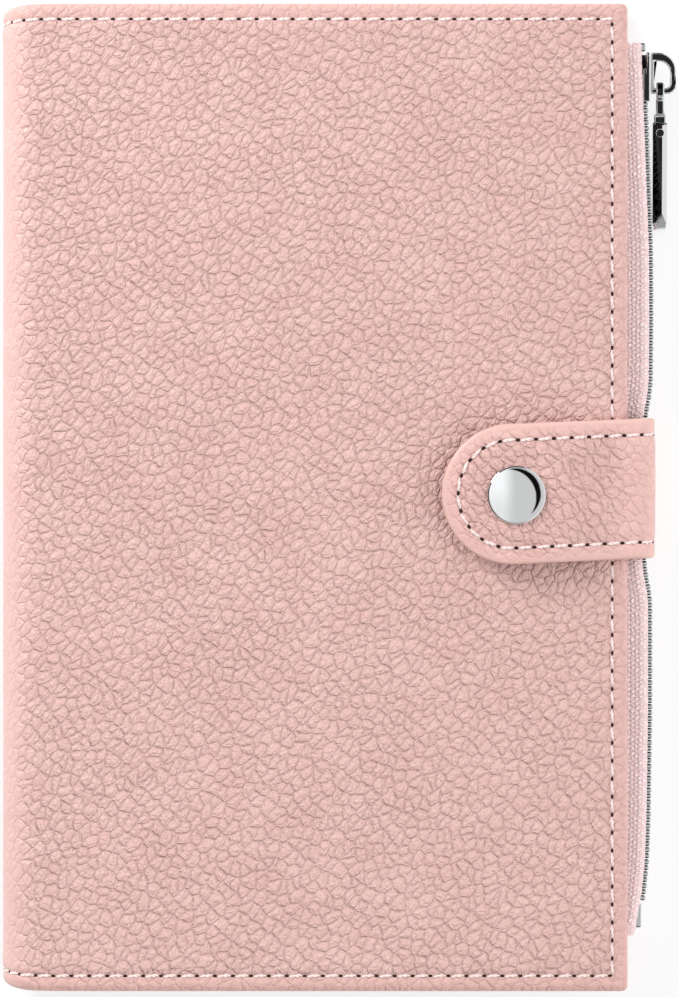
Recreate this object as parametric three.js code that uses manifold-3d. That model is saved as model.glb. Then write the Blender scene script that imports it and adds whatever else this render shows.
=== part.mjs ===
// Travel document wallet: a folded leather cover round a zipped inner pocket, held shut by a snap strap.
// Millimetres. The wallet lies closed on its back cover: +X from the spine to the zip, +Y up the book,
// +Z out of the front cover. X = 0 is the spine, Y = 0 the lower edge and Z = 0 the table while the
// pieces are made, and the finished group is then moved to stand on the middle of its own footprint.

import * as THREE from "three";
import { mergeVertices } from "three/addons/utils/BufferGeometryUtils.js";
import Module from "manifold-3d";

const wasm = await Module();
wasm.setup();

// Cover
const COVER_WIDTH = 104.5;
const COVER_HEIGHT = 165;
const COVER_THICK = 16;
const SKIN = 1.0;
const HEM_THICK = 1.9;
const HEM_WIDTH = 8;
const SPINE_REACH = 5;
const SPINE_STEPS = 12;
const HEM_STEP = 0.5;
const ROLL_STEPS = 4;

// The rolled upper and lower ends, as [distance from the end, half the thickness there]
const ROLLED_END = [
  [0, 0.4],
  [0.3, 0.75],
  [HEM_THICK / 2, HEM_THICK / 2],
];

// Gaps between pieces that lie on each other, how far joined shapes run into each other, and how far a
// cutting shape runs past the face that it goes through
const SHEET_GAP = 0.15;
const OVERLAP = 0.1;
const PAST = 1;

// Boards and lining
const BOARD_THICK = 0.6;
const BOARD_DEPTH = 1.15;
const BOARD_EDGE = 9;
const BOARD_CORNER = 2;
const LINING_DEPTH = 2.1;
const LINING_THICK = 0.5;
const LINING_EDGE = 2.5;

// Zipped pocket
const POCKET_X0 = 7;
const POCKET_X1 = 102;
const POCKET_EDGE = 7;
const POCKET_Z0 = 3.4;
const POCKET_Z1 = 9.6;
const POCKET_WALL = 0.6;
const POCKET_FOLD = 2.2;
const FOLD_STEPS = 5;

// Card slots and passport sleeve
const SLOT_TOPS = [118, 104, 90];
const SLOT_X0 = 9;
const SLOT_X1 = 94;
const SLOT_THICK = 0.55;
const SLOT_Z0 = 9.75;
const SLOT_CORNER = 3;
const CORNER_STEPS = 6;
const SLEEVE_TOP = 140;
const SLEEVE_X1 = 100;
const SLEEVE_Z0 = 12.6;
const SLEEVE_THICK = 0.6;

// Zip: the chain faces +X, and the two tapes turn back from it to the pocket's two walls
const ZIP_Z = (POCKET_Z0 + POCKET_Z1) / 2;
const TAPE_THICK = 0.5;
const TAPE_ROOT_X = 95;
const TAPE_Y0 = 9.1;
const TAPE_Y1 = 158.7;
const TAPE_OFFSET = POCKET_Z1 + SHEET_GAP + TAPE_THICK / 2 - ZIP_Z;
const TAPE_BEND = 1.2;
const BEND_STEPS = 5;
const TOOTH_PITCH = 2.0;
const TOOTH_LENGTH = 0.85;
const TOOTH_THICK = 1.8;
const TOOTH_GAP = 0.3;
const TOOTH_HEEL = 1.65;
const CORD_INNER = 0.7;
const CORD_OUTER = 1.3;
const CORD_THICK = 1.2;
const TEETH_Y0 = 15;
const TEETH_Y1 = 151.5;
const TAPE_LIP = TOOTH_HEEL + SHEET_GAP;
const STOP_HALF = 0.9;
const STOP_NEAR = 0.3;
const BOTTOM_STOP_Y0 = 10.4;
const BOTTOM_STOP_Y1 = 14.4;

// Slider
const SLIDER_Y0 = 148.9;
const SLIDER_Y1 = 157.2;
const SLIDER_HALF = 2.2;
const SLIDER_SHOULDER = 2.8;
const SHOULDER_Y0 = 153.4;
const SHOULDER_Y1 = 155.4;
const SLIDER_CORNER = [0.6, 0.8];
const PLATE_THICK = 0.5;
const PLATE_OFFSET = 1.0;
const FLANGE_WIDTH = 0.45;
const FLANGE_OFFSET = 0.4;
const FLANGE_Y1 = 154.4;
const NECK_HALF = 0.2;
const NECK_Y0 = 153.4;
const NECK_Y1 = 156.8;
const ON_CHAIN_Y = 153;

// The bridge's outline and its hole, with the radii of their two outer corners
const BRIDGE_OUTLINE = { x0: 108.6, x1: 112.85, y0: 150.2, y1: 157.2, low: 1.4, high: 3.0 };
const BRIDGE_HOLE = { x0: 109.15, x1: 111.85, y0: 151.2, y1: 155.7, low: 0.9, high: 2.0 };
const BRIDGE_WIDE = 1.0;
const BRIDGE_STEPS = 8;

// Puller, made straight down from its pivot and then drooped onto the table
const PIVOT_X = 110.17;
const PIVOT_Y = (BRIDGE_OUTLINE.y0 + BRIDGE_HOLE.y0) / 2;
const DROOP = THREE.MathUtils.degToRad(11.5);
const EYE_HOLE = 0.95;
const EYE_OUTER = 1.5;
const EYE_STEPS = 10;
const LINK_WIDE = 1.4;
const LINK_DEEP = 1.2;
const COLLAR_Y = -4.0;
const COLLAR_WIDE = 2.0;
const COLLAR_DEEP = 1.7;
const TAB_TOP = -5.55;
const TAB_WIDE = 2.36;
const TAB_DEEP = 3.0;
const TAB_TIP = -23.6;
const TAB_RIDGE_X = 0.38;
const TAB_RIDGE_RISE = 0.57;
const TAB_CHAMFER = 0.25;
const TAB_CHAMFER_RISE = 1.3;
const FORK_FLOOR = 0.3;

// The tab's tip from the side, as [distance from the tip, half the depth there]
const TAB_FACETS = [
  [3.0, 1.5],
  [1.3, 0.98],
  [0, 0.25],
];

const TONGUE_DEEP = 0.9;
const TONGUE_WIDE = 1.6;
const TONGUE_END = -8.0;
const PIN_Y = -6.8;
const PIN_RADIUS = 0.5;
const PIN_HEAD = 0.75;
const PIN_HEAD_THICK = 0.25;

// Strap: from the back cover's edge, round the zip and over the front to its round tip
const STRAP_THICK = 1.2;
const STRAP_ROOT_X = 105.3;
const STRAP_ROOT_Z = 1.5;
const STRAP_OUTER_X = 109.05;
const STRAP_LOW_BEND = 1.9;
const STRAP_TOP_BEND = 2.15;
const STRAP_TIP_X = 73.4;
const STRAP_TIP_RADIUS = 11.75;
const STRAP_TOP_AT_TIP = 94.8;
const STRAP_TOP_AT_FOLD = 95.8;
const STRAP_BOTTOM_AT_TIP = 71.3;
const STRAP_BOTTOM_AT_FOLD = 72.4;
const STRAP_LEVEL_X = 92;
const STRAP_RISE_X = 105;
const STRAP_EDGE = 0.25;
const STRAP_DROOP = 0.6;
const STRAP_DROOP_X = 80.15;
const STRAP_TIP_FLAT = 0.06;
const STRAP_ROOT_ROUND = [0.55, 0.35, 0];
const STRAP_BEND_STEPS = 6;
const STRAP_RISE_STEPS = 6;
const STRAP_TIP_STEPS = 8;

// Snap fastener
const SNAP_X = 85.9;
const SNAP_Y = 82.9;
const SNAP_STRAP_Z = 18.4;
const CAP_RADIUS = 4.93;
const CAP_RIM = 0.45;
const CAP_CROWN = 0.75;
const CAP_LIP = 0.5;
const CAP_LIP_RISE = 0.2;
const CAP_STEPS = 6;
const SHANK_RADIUS = 1.0;
const SHANK_HOLE = 1.3;
const SOCKET_RADIUS = 4.7;
const SOCKET_EDGE = 0.35;
const SOCKET_MOUTH = 2.75;
const SOCKET_Z0 = 16.85;
const SOCKET_ROOF = 0.3;
const POST_RADIUS = 4;
const POST_PLATE = 0.4;
const POST_HOLE = 4.3;
const ROUND_STEPS = 32;

// The stud, as [radius, height above the cover]
const STUD_PROFILE = [
  [0, 0],
  [4.3, 0],
  [4.5, 0.15],
  [4.2, 0.4],
  [1.3, 0.5],
  [1.3, 0.8],
  [1.5, 1.2],
  [1.1, 1.6],
  [0, 1.6],
];

function material(color, roughness, metalness) {
  return new THREE.MeshStandardMaterial({ color, roughness, metalness });
}

const LEATHER = material("#e2bbb4", 0.6, 0);
const BOARD = material("#b9a98f", 0.9, 0);
const LINING = material("#d8b2ad", 0.85, 0);
const TAPE = material("#e0bdbb", 0.9, 0);
const CHROME = material("#d5d7da", 0.15, 1);

const wallet = new THREE.Group();

function addPart(name, geometry, finish, parent = wallet) {
  const mesh = new THREE.Mesh(geometry, finish.clone());
  mesh.name = name;
  parent.add(mesh);
  return mesh;
}

// Six times the signed volume: negative where the faces point inwards
function signedVolume(geometry) {
  const position = geometry.attributes.position;
  const corners = [new THREE.Vector3(), new THREE.Vector3(), new THREE.Vector3()];
  let volume = 0;
  for (let i = 0; i < geometry.index.count; i += 3) {
    corners.forEach((corner, k) => corner.fromBufferAttribute(position, geometry.index.getX(i + k)));
    volume += corners[0].dot(corners[1].clone().cross(corners[2]));
  }
  return volume;
}

// The same shape with shared corners merged and every face pointing outwards
function closed(geometry) {
  const bare = geometry.clone();
  bare.deleteAttribute("normal");
  bare.deleteAttribute("uv");
  const merged = mergeVertices(bare, 1e-4);
  if (signedVolume(merged) < 0) {
    const index = merged.index;
    for (let i = 0; i < index.count; i += 3) {
      const second = index.getX(i + 1);
      index.setX(i + 1, index.getX(i + 2));
      index.setX(i + 2, second);
    }
  }
  merged.computeVertexNormals();
  return merged;
}

function toManifold(geometry) {
  const shape = closed(geometry);
  const vertProperties = new Float32Array(shape.attributes.position.array);
  const triVerts = new Uint32Array(shape.index.array);
  return new wasm.Manifold(new wasm.Mesh({ numProp: 3, vertProperties, triVerts }));
}

function fromManifold(shape) {
  const mesh = shape.getMesh();
  const geometry = new THREE.BufferGeometry();
  geometry.setAttribute("position", new THREE.BufferAttribute(new Float32Array(mesh.vertProperties), 3));
  geometry.setIndex(new THREE.BufferAttribute(new Uint32Array(mesh.triVerts), 1));
  geometry.computeVertexNormals();
  return geometry;
}

function joined(...geometries) {
  return fromManifold(geometries.map(toManifold).reduce((sum, piece) => sum.add(piece)));
}

function cut(geometry, ...tools) {
  const whole = toManifold(geometry);
  return fromManifold(tools.map(toManifold).reduce((rest, tool) => rest.subtract(tool), whole));
}

function common(...geometries) {
  return fromManifold(geometries.map(toManifold).reduce((shared, piece) => shared.intersect(piece)));
}

// A block between two corners
function block(x0, x1, y0, y1, z0, z1) {
  const geometry = new THREE.BoxGeometry(x1 - x0, y1 - y0, z1 - z0);
  return closed(geometry.translate((x0 + x1) / 2, (y0 + y1) / 2, (z0 + z1) / 2));
}

// A round bar along Z
function rod(x, y, z0, z1, radius) {
  const geometry = new THREE.CylinderGeometry(radius, radius, z1 - z0, ROUND_STEPS);
  return closed(geometry.rotateX(Math.PI / 2).translate(x, y, (z0 + z1) / 2));
}

// A turned piece about the snap's axis: profile points are [radius, z]
function turned(profile) {
  const points = profile.map(([radius, z]) => new THREE.Vector2(radius, z));
  const geometry = new THREE.LatheGeometry(points, ROUND_STEPS).rotateX(Math.PI / 2);
  return closed(geometry.translate(SNAP_X, SNAP_Y, 0));
}

// A flat sheet with round corners, lying in the XY plane
function sheet(x0, x1, y0, y1, z0, thick, corner, hole) {
  const shape = new THREE.Shape();
  const turns = [
    [x1 - corner, y0 + corner, -Math.PI / 2],
    [x1 - corner, y1 - corner, 0],
    [x0 + corner, y1 - corner, Math.PI / 2],
    [x0 + corner, y0 + corner, Math.PI],
  ];
  turns.forEach(([x, y, start]) => shape.absarc(x, y, corner, start, start + Math.PI / 2, false));
  if (hole) {
    shape.holes.push(hole);
  }
  const options = { depth: thick, bevelEnabled: false, curveSegments: CORNER_STEPS };
  return closed(new THREE.ExtrudeGeometry(shape, options).translate(0, 0, z0));
}

// One closed body through matching closed sections; flatten gives a section's corner in its own plane
function loft(sections, flatten) {
  const count = sections[0].length;
  const indices = [];
  for (let s = 0; s + 1 < sections.length; s += 1) {
    for (let i = 0; i < count; i += 1) {
      const a = s * count + i;
      const b = s * count + ((i + 1) % count);
      indices.push(a, b, a + count, b, b + count, a + count);
    }
  }
  const lastStart = (sections.length - 1) * count;
  for (const [start, section, turn] of [[0, sections[0], -1], [lastStart, sections.at(-1), 1]]) {
    const outline = section.map(flatten);
    const anticlockwise = THREE.ShapeUtils.area(outline) > 0;
    const order = outline.map((_, i) => (anticlockwise ? i : count - 1 - i));
    const forward = anticlockwise === (turn > 0);
    for (const triangle of wasm.triangulate([order.map((i) => outline[i].toArray())])) {
      const [i, j, k] = triangle.map((corner) => start + order[corner]);
      indices.push(i, forward ? j : k, forward ? k : j);
    }
  }
  const geometry = new THREE.BufferGeometry();
  const numbers = sections.flat().flatMap((point) => [point.x, point.y, point.z]);
  geometry.setAttribute("position", new THREE.Float32BufferAttribute(numbers, 3));
  geometry.setIndex(indices);
  return closed(geometry);
}

const flattenXZ = (point) => new THREE.Vector2(point.x, point.z);
const flattenYZ = (point) => new THREE.Vector2(point.y, point.z);

// Half an ellipse round the spine at a depth below the cover's outer face, from the front to the back
function spineArc(depth) {
  const points = [];
  for (let i = 0; i <= SPINE_STEPS; i += 1) {
    const angle = Math.PI / 2 + (Math.PI * i) / SPINE_STEPS;
    const x = SPINE_REACH + (SPINE_REACH - depth) * Math.cos(angle);
    const z = COVER_THICK / 2 + (COVER_THICK / 2 - depth) * Math.sin(angle);
    points.push([x, z]);
  }
  return points;
}

// Half a circle round a rolled edge whose middle lies at a depth below the outer face
function rolledEdge(tip, middle, half) {
  const points = [];
  for (let i = 0; i <= ROLL_STEPS; i += 1) {
    const angle = (Math.PI * i) / ROLL_STEPS - Math.PI / 2;
    points.push([tip - half + half * Math.cos(angle), middle + half * Math.sin(angle)]);
  }
  return points;
}

// The cover's section at height y: half is half the rolled edge's thickness there, and skin what is
// left between the hems
function coverSection(y, half, skin) {
  const middle = HEM_THICK / 2;
  const outer = middle - half;
  const inner = middle + half;
  const within = Math.min(skin, inner);
  const hemEnd = COVER_WIDTH - HEM_WIDTH;
  const edge = rolledEdge(COVER_WIDTH - outer, middle, half);
  const panel = [...edge, [hemEnd, inner], [hemEnd - HEM_STEP, within]];
  const front = panel.map(([x, depth]) => [x, COVER_THICK - depth]);
  const points = [...spineArc(outer), ...panel, ...spineArc(within).reverse(), ...front.reverse()];
  return points.map(([x, z]) => new THREE.Vector3(x, y, z));
}

function coverShell() {
  const middle = HEM_THICK / 2;
  const low = [
    ...ROLLED_END.map(([y, half]) => [y, half, HEM_THICK]),
    [HEM_WIDTH, middle, HEM_THICK],
    [HEM_WIDTH + HEM_STEP, middle, SKIN],
  ];
  const sections = [
    ...low.map(([y, half, skin]) => coverSection(y, half, skin)),
    ...low.reverse().map(([y, half, skin]) => coverSection(COVER_HEIGHT - y, half, skin)),
  ];
  const postHole = rod(SNAP_X, SNAP_Y, COVER_THICK - SKIN - PAST, COVER_THICK + PAST, SHANK_HOLE);
  return cut(loft(sections, flattenXZ), postHole);
}

function liningShell() {
  const outer = spineArc(LINING_DEPTH);
  const inner = spineArc(LINING_DEPTH + LINING_THICK).reverse();
  const edge = COVER_WIDTH - LINING_EDGE;
  const depthBelow = LINING_DEPTH + LINING_THICK;
  const points = [
    ...outer,
    [edge, LINING_DEPTH],
    [edge, depthBelow],
    ...inner,
    [edge, COVER_THICK - depthBelow],
    [edge, COVER_THICK - LINING_DEPTH],
  ];
  const sectionAt = (y) => points.map(([x, z]) => new THREE.Vector3(x, y, z));
  return loft([sectionAt(LINING_EDGE), sectionAt(COVER_HEIGHT - LINING_EDGE)], flattenXZ);
}

function board(z0, hole) {
  const far = COVER_WIDTH - BOARD_EDGE;
  const top = COVER_HEIGHT - BOARD_EDGE;
  return sheet(BOARD_EDGE, far, BOARD_EDGE, top, z0, BOARD_THICK, BOARD_CORNER, hole);
}

// A bag with one open side: the fold lies at the spine and the mouth faces the zip
function zipPocket() {
  const depth = COVER_HEIGHT - 2 * POCKET_EDGE;
  function bag(inset, mouth) {
    const fold = POCKET_FOLD - inset;
    const z0 = POCKET_Z0 + inset;
    const z1 = POCKET_Z1 - inset;
    const x0 = POCKET_X0 + inset;
    const shape = new THREE.Shape();
    shape.moveTo(mouth, z0);
    shape.lineTo(mouth, z1);
    shape.absarc(x0 + fold, z1 - fold, fold, Math.PI / 2, Math.PI, false);
    shape.absarc(x0 + fold, z0 + fold, fold, Math.PI, 1.5 * Math.PI, false);
    const options = { depth: depth - 2 * inset, bevelEnabled: false, curveSegments: FOLD_STEPS };
    const geometry = new THREE.ExtrudeGeometry(shape, options);
    return closed(geometry.rotateX(Math.PI / 2).translate(0, COVER_HEIGHT - POCKET_EDGE - inset, 0));
  }
  return cut(bag(0, POCKET_X1), bag(POCKET_WALL, POCKET_X1 + PAST));
}

// Where the middle of the chain lies at height y. It leans out from the slider down to the strap, is
// pressed in under the strap, and runs back in at its lower end.
const CHAIN_ROUTE = [
  [8, 105.6],
  [11, 105.8],
  [15.5, 106.6],
  [22, 107.3],
  [48, 107.8],
  [66, 107.8],
  [70.5, 106.8],
  [96.3, 106.8],
  [101, 108.0],
  [153, 106.9],
  [160, 106.75],
];

function chainX(y) {
  const end = CHAIN_ROUTE.findIndex(([height]) => height >= y);
  const [y0, x0] = CHAIN_ROUTE[end - 1];
  const [y1, x1] = CHAIN_ROUTE[end];
  return THREE.MathUtils.mapLinear(y, y0, y1, x0, x1);
}

// One tape: flat on the pocket's wall, round a bend and in to the chain. side is 1 at the front.
function zipTape(side) {
  const half = TAPE_THICK / 2;
  function sectionAt(y) {
    const x = chainX(y);
    const bendX = x - TAPE_BEND;
    const bendZ = TAPE_OFFSET - TAPE_BEND;
    const outer = [[TAPE_ROOT_X, TAPE_OFFSET + half]];
    const inner = [[TAPE_ROOT_X, TAPE_OFFSET - half]];
    for (let i = 0; i <= BEND_STEPS; i += 1) {
      const angle = Math.PI / 2 - ((Math.PI / 2) * i) / BEND_STEPS;
      const reach = (radius) => [bendX + radius * Math.cos(angle), bendZ + radius * Math.sin(angle)];
      outer.push(reach(TAPE_BEND + half));
      inner.push(reach(TAPE_BEND - half));
    }
    outer.push([x + half, TAPE_LIP]);
    inner.push([x - half, TAPE_LIP]);
    const points = [...outer, ...inner.reverse()];
    return points.map(([px, pz]) => new THREE.Vector3(px, y, ZIP_Z + side * pz));
  }
  const heights = CHAIN_ROUTE.map(([y]) => y).filter((y) => y > TAPE_Y0 && y < TAPE_Y1);
  return loft([TAPE_Y0, ...heights, TAPE_Y1].map(sectionAt), flattenXZ);
}

// One row of teeth on the cord that they grip, a comb that follows the chain
function teethRow(side) {
  function sectionAt(y, near, far, thick) {
    const x = chainX(y);
    const corners = [
      [-thick / 2, near],
      [thick / 2, near],
      [thick / 2, far],
      [-thick / 2, far],
    ];
    return corners.map(([dx, level]) => new THREE.Vector3(x + dx, y, ZIP_Z + side * level));
  }
  const count = Math.floor((TEETH_Y1 - TEETH_Y0) / TOOTH_PITCH);
  const first = TEETH_Y0 + (side > 0 ? 0 : TOOTH_PITCH / 2);
  const last = first + (count - 1) * TOOTH_PITCH;
  const teeth = [];
  for (let y = first; y <= last; y += TOOTH_PITCH) {
    const ends = [y, y + TOOTH_LENGTH].map((end) => sectionAt(end, TOOTH_GAP, TOOTH_HEEL, TOOTH_THICK));
    teeth.push(loft(ends, flattenXZ));
  }
  const cordY0 = first + OVERLAP;
  const cordY1 = last + TOOTH_LENGTH - OVERLAP;
  const between = CHAIN_ROUTE.map(([y]) => y).filter((y) => y > cordY0 && y < cordY1);
  const heights = [cordY0, ...between, cordY1];
  const cord = loft(heights.map((y) => sectionAt(y, CORD_INNER, CORD_OUTER, CORD_THICK)), flattenXZ);
  return joined(cord, ...teeth);
}

// A clip crimped on one tape's edge above the last tooth
function topStop(side) {
  const x = chainX(TAPE_Y1);
  const near = ZIP_Z + side * STOP_NEAR;
  const far = ZIP_Z + side * TOOTH_HEEL;
  const y0 = SLIDER_Y1 + SHEET_GAP;
  return block(x - STOP_HALF, x + STOP_HALF, y0, TAPE_Y1, Math.min(near, far), Math.max(near, far));
}

// A crimped bar that holds both tape edges together below the first tooth
function bottomStop() {
  const x = chainX((BOTTOM_STOP_Y0 + BOTTOM_STOP_Y1) / 2);
  const span = [ZIP_Z - TOOTH_HEEL, ZIP_Z + TOOTH_HEEL];
  return block(x - STOP_HALF, x + STOP_HALF, BOTTOM_STOP_Y0, BOTTOM_STOP_Y1, ...span);
}

// Two plates with flanges that guide the tapes. The neck that joins them runs between the two rows.
function zipSlider() {
  const x = chainX(ON_CHAIN_Y);
  const [cornerY, cornerZ] = SLIDER_CORNER;
  function plate(x0, shoulder) {
    const half = [
      [SLIDER_Y0, SLIDER_HALF],
      [SHOULDER_Y0, SLIDER_HALF],
      [SHOULDER_Y1, shoulder],
      [SLIDER_Y1 - cornerY, shoulder],
      [SLIDER_Y1, shoulder - cornerZ],
    ];
    const mirrored = half.map(([y, z]) => [y, -z]).reverse();
    const shape = new THREE.Shape([...half, ...mirrored].map(([y, z]) => new THREE.Vector2(y, z)));
    const geometry = new THREE.ExtrudeGeometry(shape, { depth: PLATE_THICK, bevelEnabled: false });
    // The shape's own X and Y are the part's Y and Z, and its depth is the part's X
    geometry.applyMatrix4(new THREE.Matrix4().set(0, 0, 1, x0, 1, 0, 0, 0, 0, 1, 0, ZIP_Z, 0, 0, 0, 1));
    return closed(geometry);
  }
  const outerPlate = plate(x + PLATE_OFFSET, SLIDER_SHOULDER);
  const innerPlate = plate(x - PLATE_OFFSET - PLATE_THICK, SLIDER_HALF);
  const reach = PLATE_OFFSET + OVERLAP;
  const flanges = [];
  for (const [near, far] of [[FLANGE_OFFSET, reach], [-reach, -FLANGE_OFFSET]]) {
    for (const low of [-SLIDER_HALF, SLIDER_HALF - FLANGE_WIDTH]) {
      const span = [ZIP_Z + low, ZIP_Z + low + FLANGE_WIDTH];
      flanges.push(block(x + near, x + far, SLIDER_Y0, FLANGE_Y1, ...span));
    }
  }
  const neck = block(x - reach, x + reach, NECK_Y0, NECK_Y1, ZIP_Z - NECK_HALF, ZIP_Z + NECK_HALF);
  return joined(outerPlate, innerPlate, neck, ...flanges);
}

// A D-shaped ring that stands out of the slider and carries the puller
function sliderBridge() {
  function ring({ x0, x1, y0, y1, low, high }) {
    const path = new THREE.Path();
    path.moveTo(x0, y0);
    path.lineTo(x1 - low, y0);
    path.absarc(x1 - low, y0 + low, low, -Math.PI / 2, 0, false);
    path.absarc(x1 - high, y1 - high, high, 0, Math.PI / 2, false);
    path.lineTo(x0, y1);
    path.closePath();
    return path.getPoints(BRIDGE_STEPS);
  }
  const shape = new THREE.Shape(ring(BRIDGE_OUTLINE));
  shape.holes.push(new THREE.Path(ring(BRIDGE_HOLE)));
  const geometry = new THREE.ExtrudeGeometry(shape, { depth: BRIDGE_WIDE, bevelEnabled: false });
  return closed(geometry.translate(0, 0, ZIP_Z - BRIDGE_WIDE / 2));
}

// A block about the puller's own Y axis, between two heights
function barPiece(y0, y1, wide, deep) {
  return block(-wide / 2, wide / 2, y0, y1, -deep / 2, deep / 2);
}

// The link hangs from the bridge by its eye, and ends in a tongue that the tab is riveted to
function pullerLink() {
  const ring = new THREE.Shape();
  ring.absarc(0, 0, EYE_OUTER, 0, 2 * Math.PI, false);
  const hole = new THREE.Path();
  hole.absarc(0, 0, EYE_HOLE, 0, 2 * Math.PI, true);
  ring.holes.push(hole);
  const options = { depth: LINK_WIDE, bevelEnabled: false, curveSegments: EYE_STEPS };
  const eye = new THREE.ExtrudeGeometry(ring, options);
  eye.rotateY(Math.PI / 2).translate(-LINK_WIDE / 2, 0, 0);
  const bar = barPiece(COLLAR_Y - OVERLAP, -(EYE_HOLE + EYE_OUTER) / 2, LINK_WIDE, LINK_DEEP);
  const collarEnd = TAB_TOP + SHEET_GAP;
  const collar = barPiece(collarEnd, COLLAR_Y, COLLAR_WIDE, COLLAR_DEEP);
  const tongue = barPiece(TONGUE_END, collarEnd + OVERLAP, TONGUE_WIDE, TONGUE_DEEP);
  const pinHole = rod(0, PIN_Y, -PAST, PAST, PIN_RADIUS + SHEET_GAP);
  return cut(joined(eye, bar, collar, tongue), pinHole);
}

// A bar with a ridge along both faces and a faceted tip, forked at the top for the link's tongue
function pullerTab() {
  const wide = TAB_WIDE / 2;
  const deep = TAB_DEEP / 2;
  const side = deep - TAB_RIDGE_RISE;
  function extruded(corners, depth) {
    const shape = new THREE.Shape(corners.map(([u, v]) => new THREE.Vector2(u, v)));
    return new THREE.ExtrudeGeometry(shape, { depth, bevelEnabled: false });
  }
  const section = [
    [-wide, -side],
    [TAB_RIDGE_X, -deep],
    [wide, -side],
    [wide, side],
    [TAB_RIDGE_X, deep],
    [-wide, side],
  ];
  // The section's own Y is the puller's Z, and its depth runs down the puller
  const bar = extruded(section, TAB_TOP - TAB_TIP).rotateX(Math.PI / 2).translate(0, TAB_TOP, 0);
  const front = [[TAB_TOP + PAST, deep + PAST], ...TAB_FACETS.map(([rise, half]) => [TAB_TIP + rise, half])];
  const back = front.map(([y, z]) => [y, -z]).reverse();
  // The side view's own X and Y are the puller's Y and Z
  const facets = extruded([...front, ...back], TAB_WIDE + 2 * PAST);
  facets.applyMatrix4(new THREE.Matrix4().set(0, 0, 1, -wide - PAST, 1, 0, 0, 0, 0, 1, 0, 0, 0, 0, 0, 1));
  const outline = [
    [-wide - PAST, TAB_TOP + PAST],
    [-wide, TAB_TIP + TAB_CHAMFER_RISE],
    [-wide + TAB_CHAMFER, TAB_TIP],
    [wide - TAB_CHAMFER, TAB_TIP],
    [wide, TAB_TIP + TAB_CHAMFER_RISE],
    [wide + PAST, TAB_TOP + PAST],
  ];
  const taper = extruded(outline, TAB_DEEP + 2 * PAST).translate(0, 0, -deep - PAST);
  const slot = TONGUE_DEEP + 2 * SHEET_GAP;
  const fork = barPiece(TONGUE_END - FORK_FLOOR, TAB_TOP + PAST, TAB_WIDE + 2 * PAST, slot);
  const pinHole = rod(0, PIN_Y, -deep - PAST, deep + PAST, PIN_RADIUS + SHEET_GAP);
  return cut(common(bar, facets, taper), fork, pinHole);
}

// A rivet with a flat head on both faces of the tab
function pullerPin() {
  const face = TAB_DEEP / 2 + SHEET_GAP;
  const end = face + PIN_HEAD_THICK;
  const shank = rod(0, PIN_Y, -face - OVERLAP, face + OVERLAP, PIN_RADIUS);
  return joined(shank, rod(0, PIN_Y, face, end, PIN_HEAD), rod(0, PIN_Y, -end, -face, PIN_HEAD));
}

// The strap's middle line in the XZ plane, from its root to its tip
function strapRoute() {
  const half = STRAP_THICK / 2;
  const wallX = STRAP_OUTER_X - half;
  const overZ = COVER_THICK + SHEET_GAP + half;
  const levelZ = SNAP_STRAP_Z + half;
  const points = STRAP_ROOT_ROUND.map((back) => {
    return [STRAP_ROOT_X - back, STRAP_ROOT_Z, Math.sqrt(half * half - back * back)];
  });
  function bend(radius, centreZ, start) {
    for (let i = 0; i <= STRAP_BEND_STEPS; i += 1) {
      const angle = start + (Math.PI / 2) * (i / STRAP_BEND_STEPS);
      points.push([wallX - radius + radius * Math.cos(angle), centreZ + radius * Math.sin(angle), half]);
    }
  }
  bend(STRAP_LOW_BEND, STRAP_ROOT_Z + STRAP_LOW_BEND, -Math.PI / 2);
  bend(STRAP_TOP_BEND, overZ - STRAP_TOP_BEND, 0);
  for (let i = 0; i <= STRAP_RISE_STEPS; i += 1) {
    const x = THREE.MathUtils.lerp(STRAP_RISE_X, STRAP_LEVEL_X, i / STRAP_RISE_STEPS);
    const rise = THREE.MathUtils.smoothstep(STRAP_RISE_X - x, 0, STRAP_RISE_X - STRAP_LEVEL_X);
    points.push([x, THREE.MathUtils.lerp(overZ, levelZ, rise), half]);
  }
  const tipCentre = STRAP_TIP_X + STRAP_TIP_RADIUS;
  for (let i = 0; i <= STRAP_TIP_STEPS; i += 1) {
    const x = tipCentre - STRAP_TIP_RADIUS * Math.sin((Math.PI / 2) * (i / STRAP_TIP_STEPS));
    const droop = THREE.MathUtils.smoothstep(STRAP_DROOP_X - x, 0, STRAP_DROOP_X - STRAP_TIP_X);
    points.push([x, levelZ - STRAP_DROOP * droop, half]);
  }
  return points;
}

// The strap's upper and lower edge at x, with the round tip
function strapEdges(x) {
  const tipCentre = STRAP_TIP_X + STRAP_TIP_RADIUS;
  const along = THREE.MathUtils.clamp((x - tipCentre) / (STRAP_OUTER_X - tipCentre), 0, 1);
  const top = THREE.MathUtils.lerp(STRAP_TOP_AT_TIP, STRAP_TOP_AT_FOLD, along);
  const bottom = THREE.MathUtils.lerp(STRAP_BOTTOM_AT_TIP, STRAP_BOTTOM_AT_FOLD, along);
  const back = Math.max(tipCentre - x, 0) / STRAP_TIP_RADIUS;
  const share = Math.max(Math.sqrt(Math.max(1 - back * back, 0)), STRAP_TIP_FLAT);
  const middle = (top + bottom) / 2;
  const half = ((top - bottom) / 2) * share;
  return [middle + half, middle - half];
}

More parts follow.
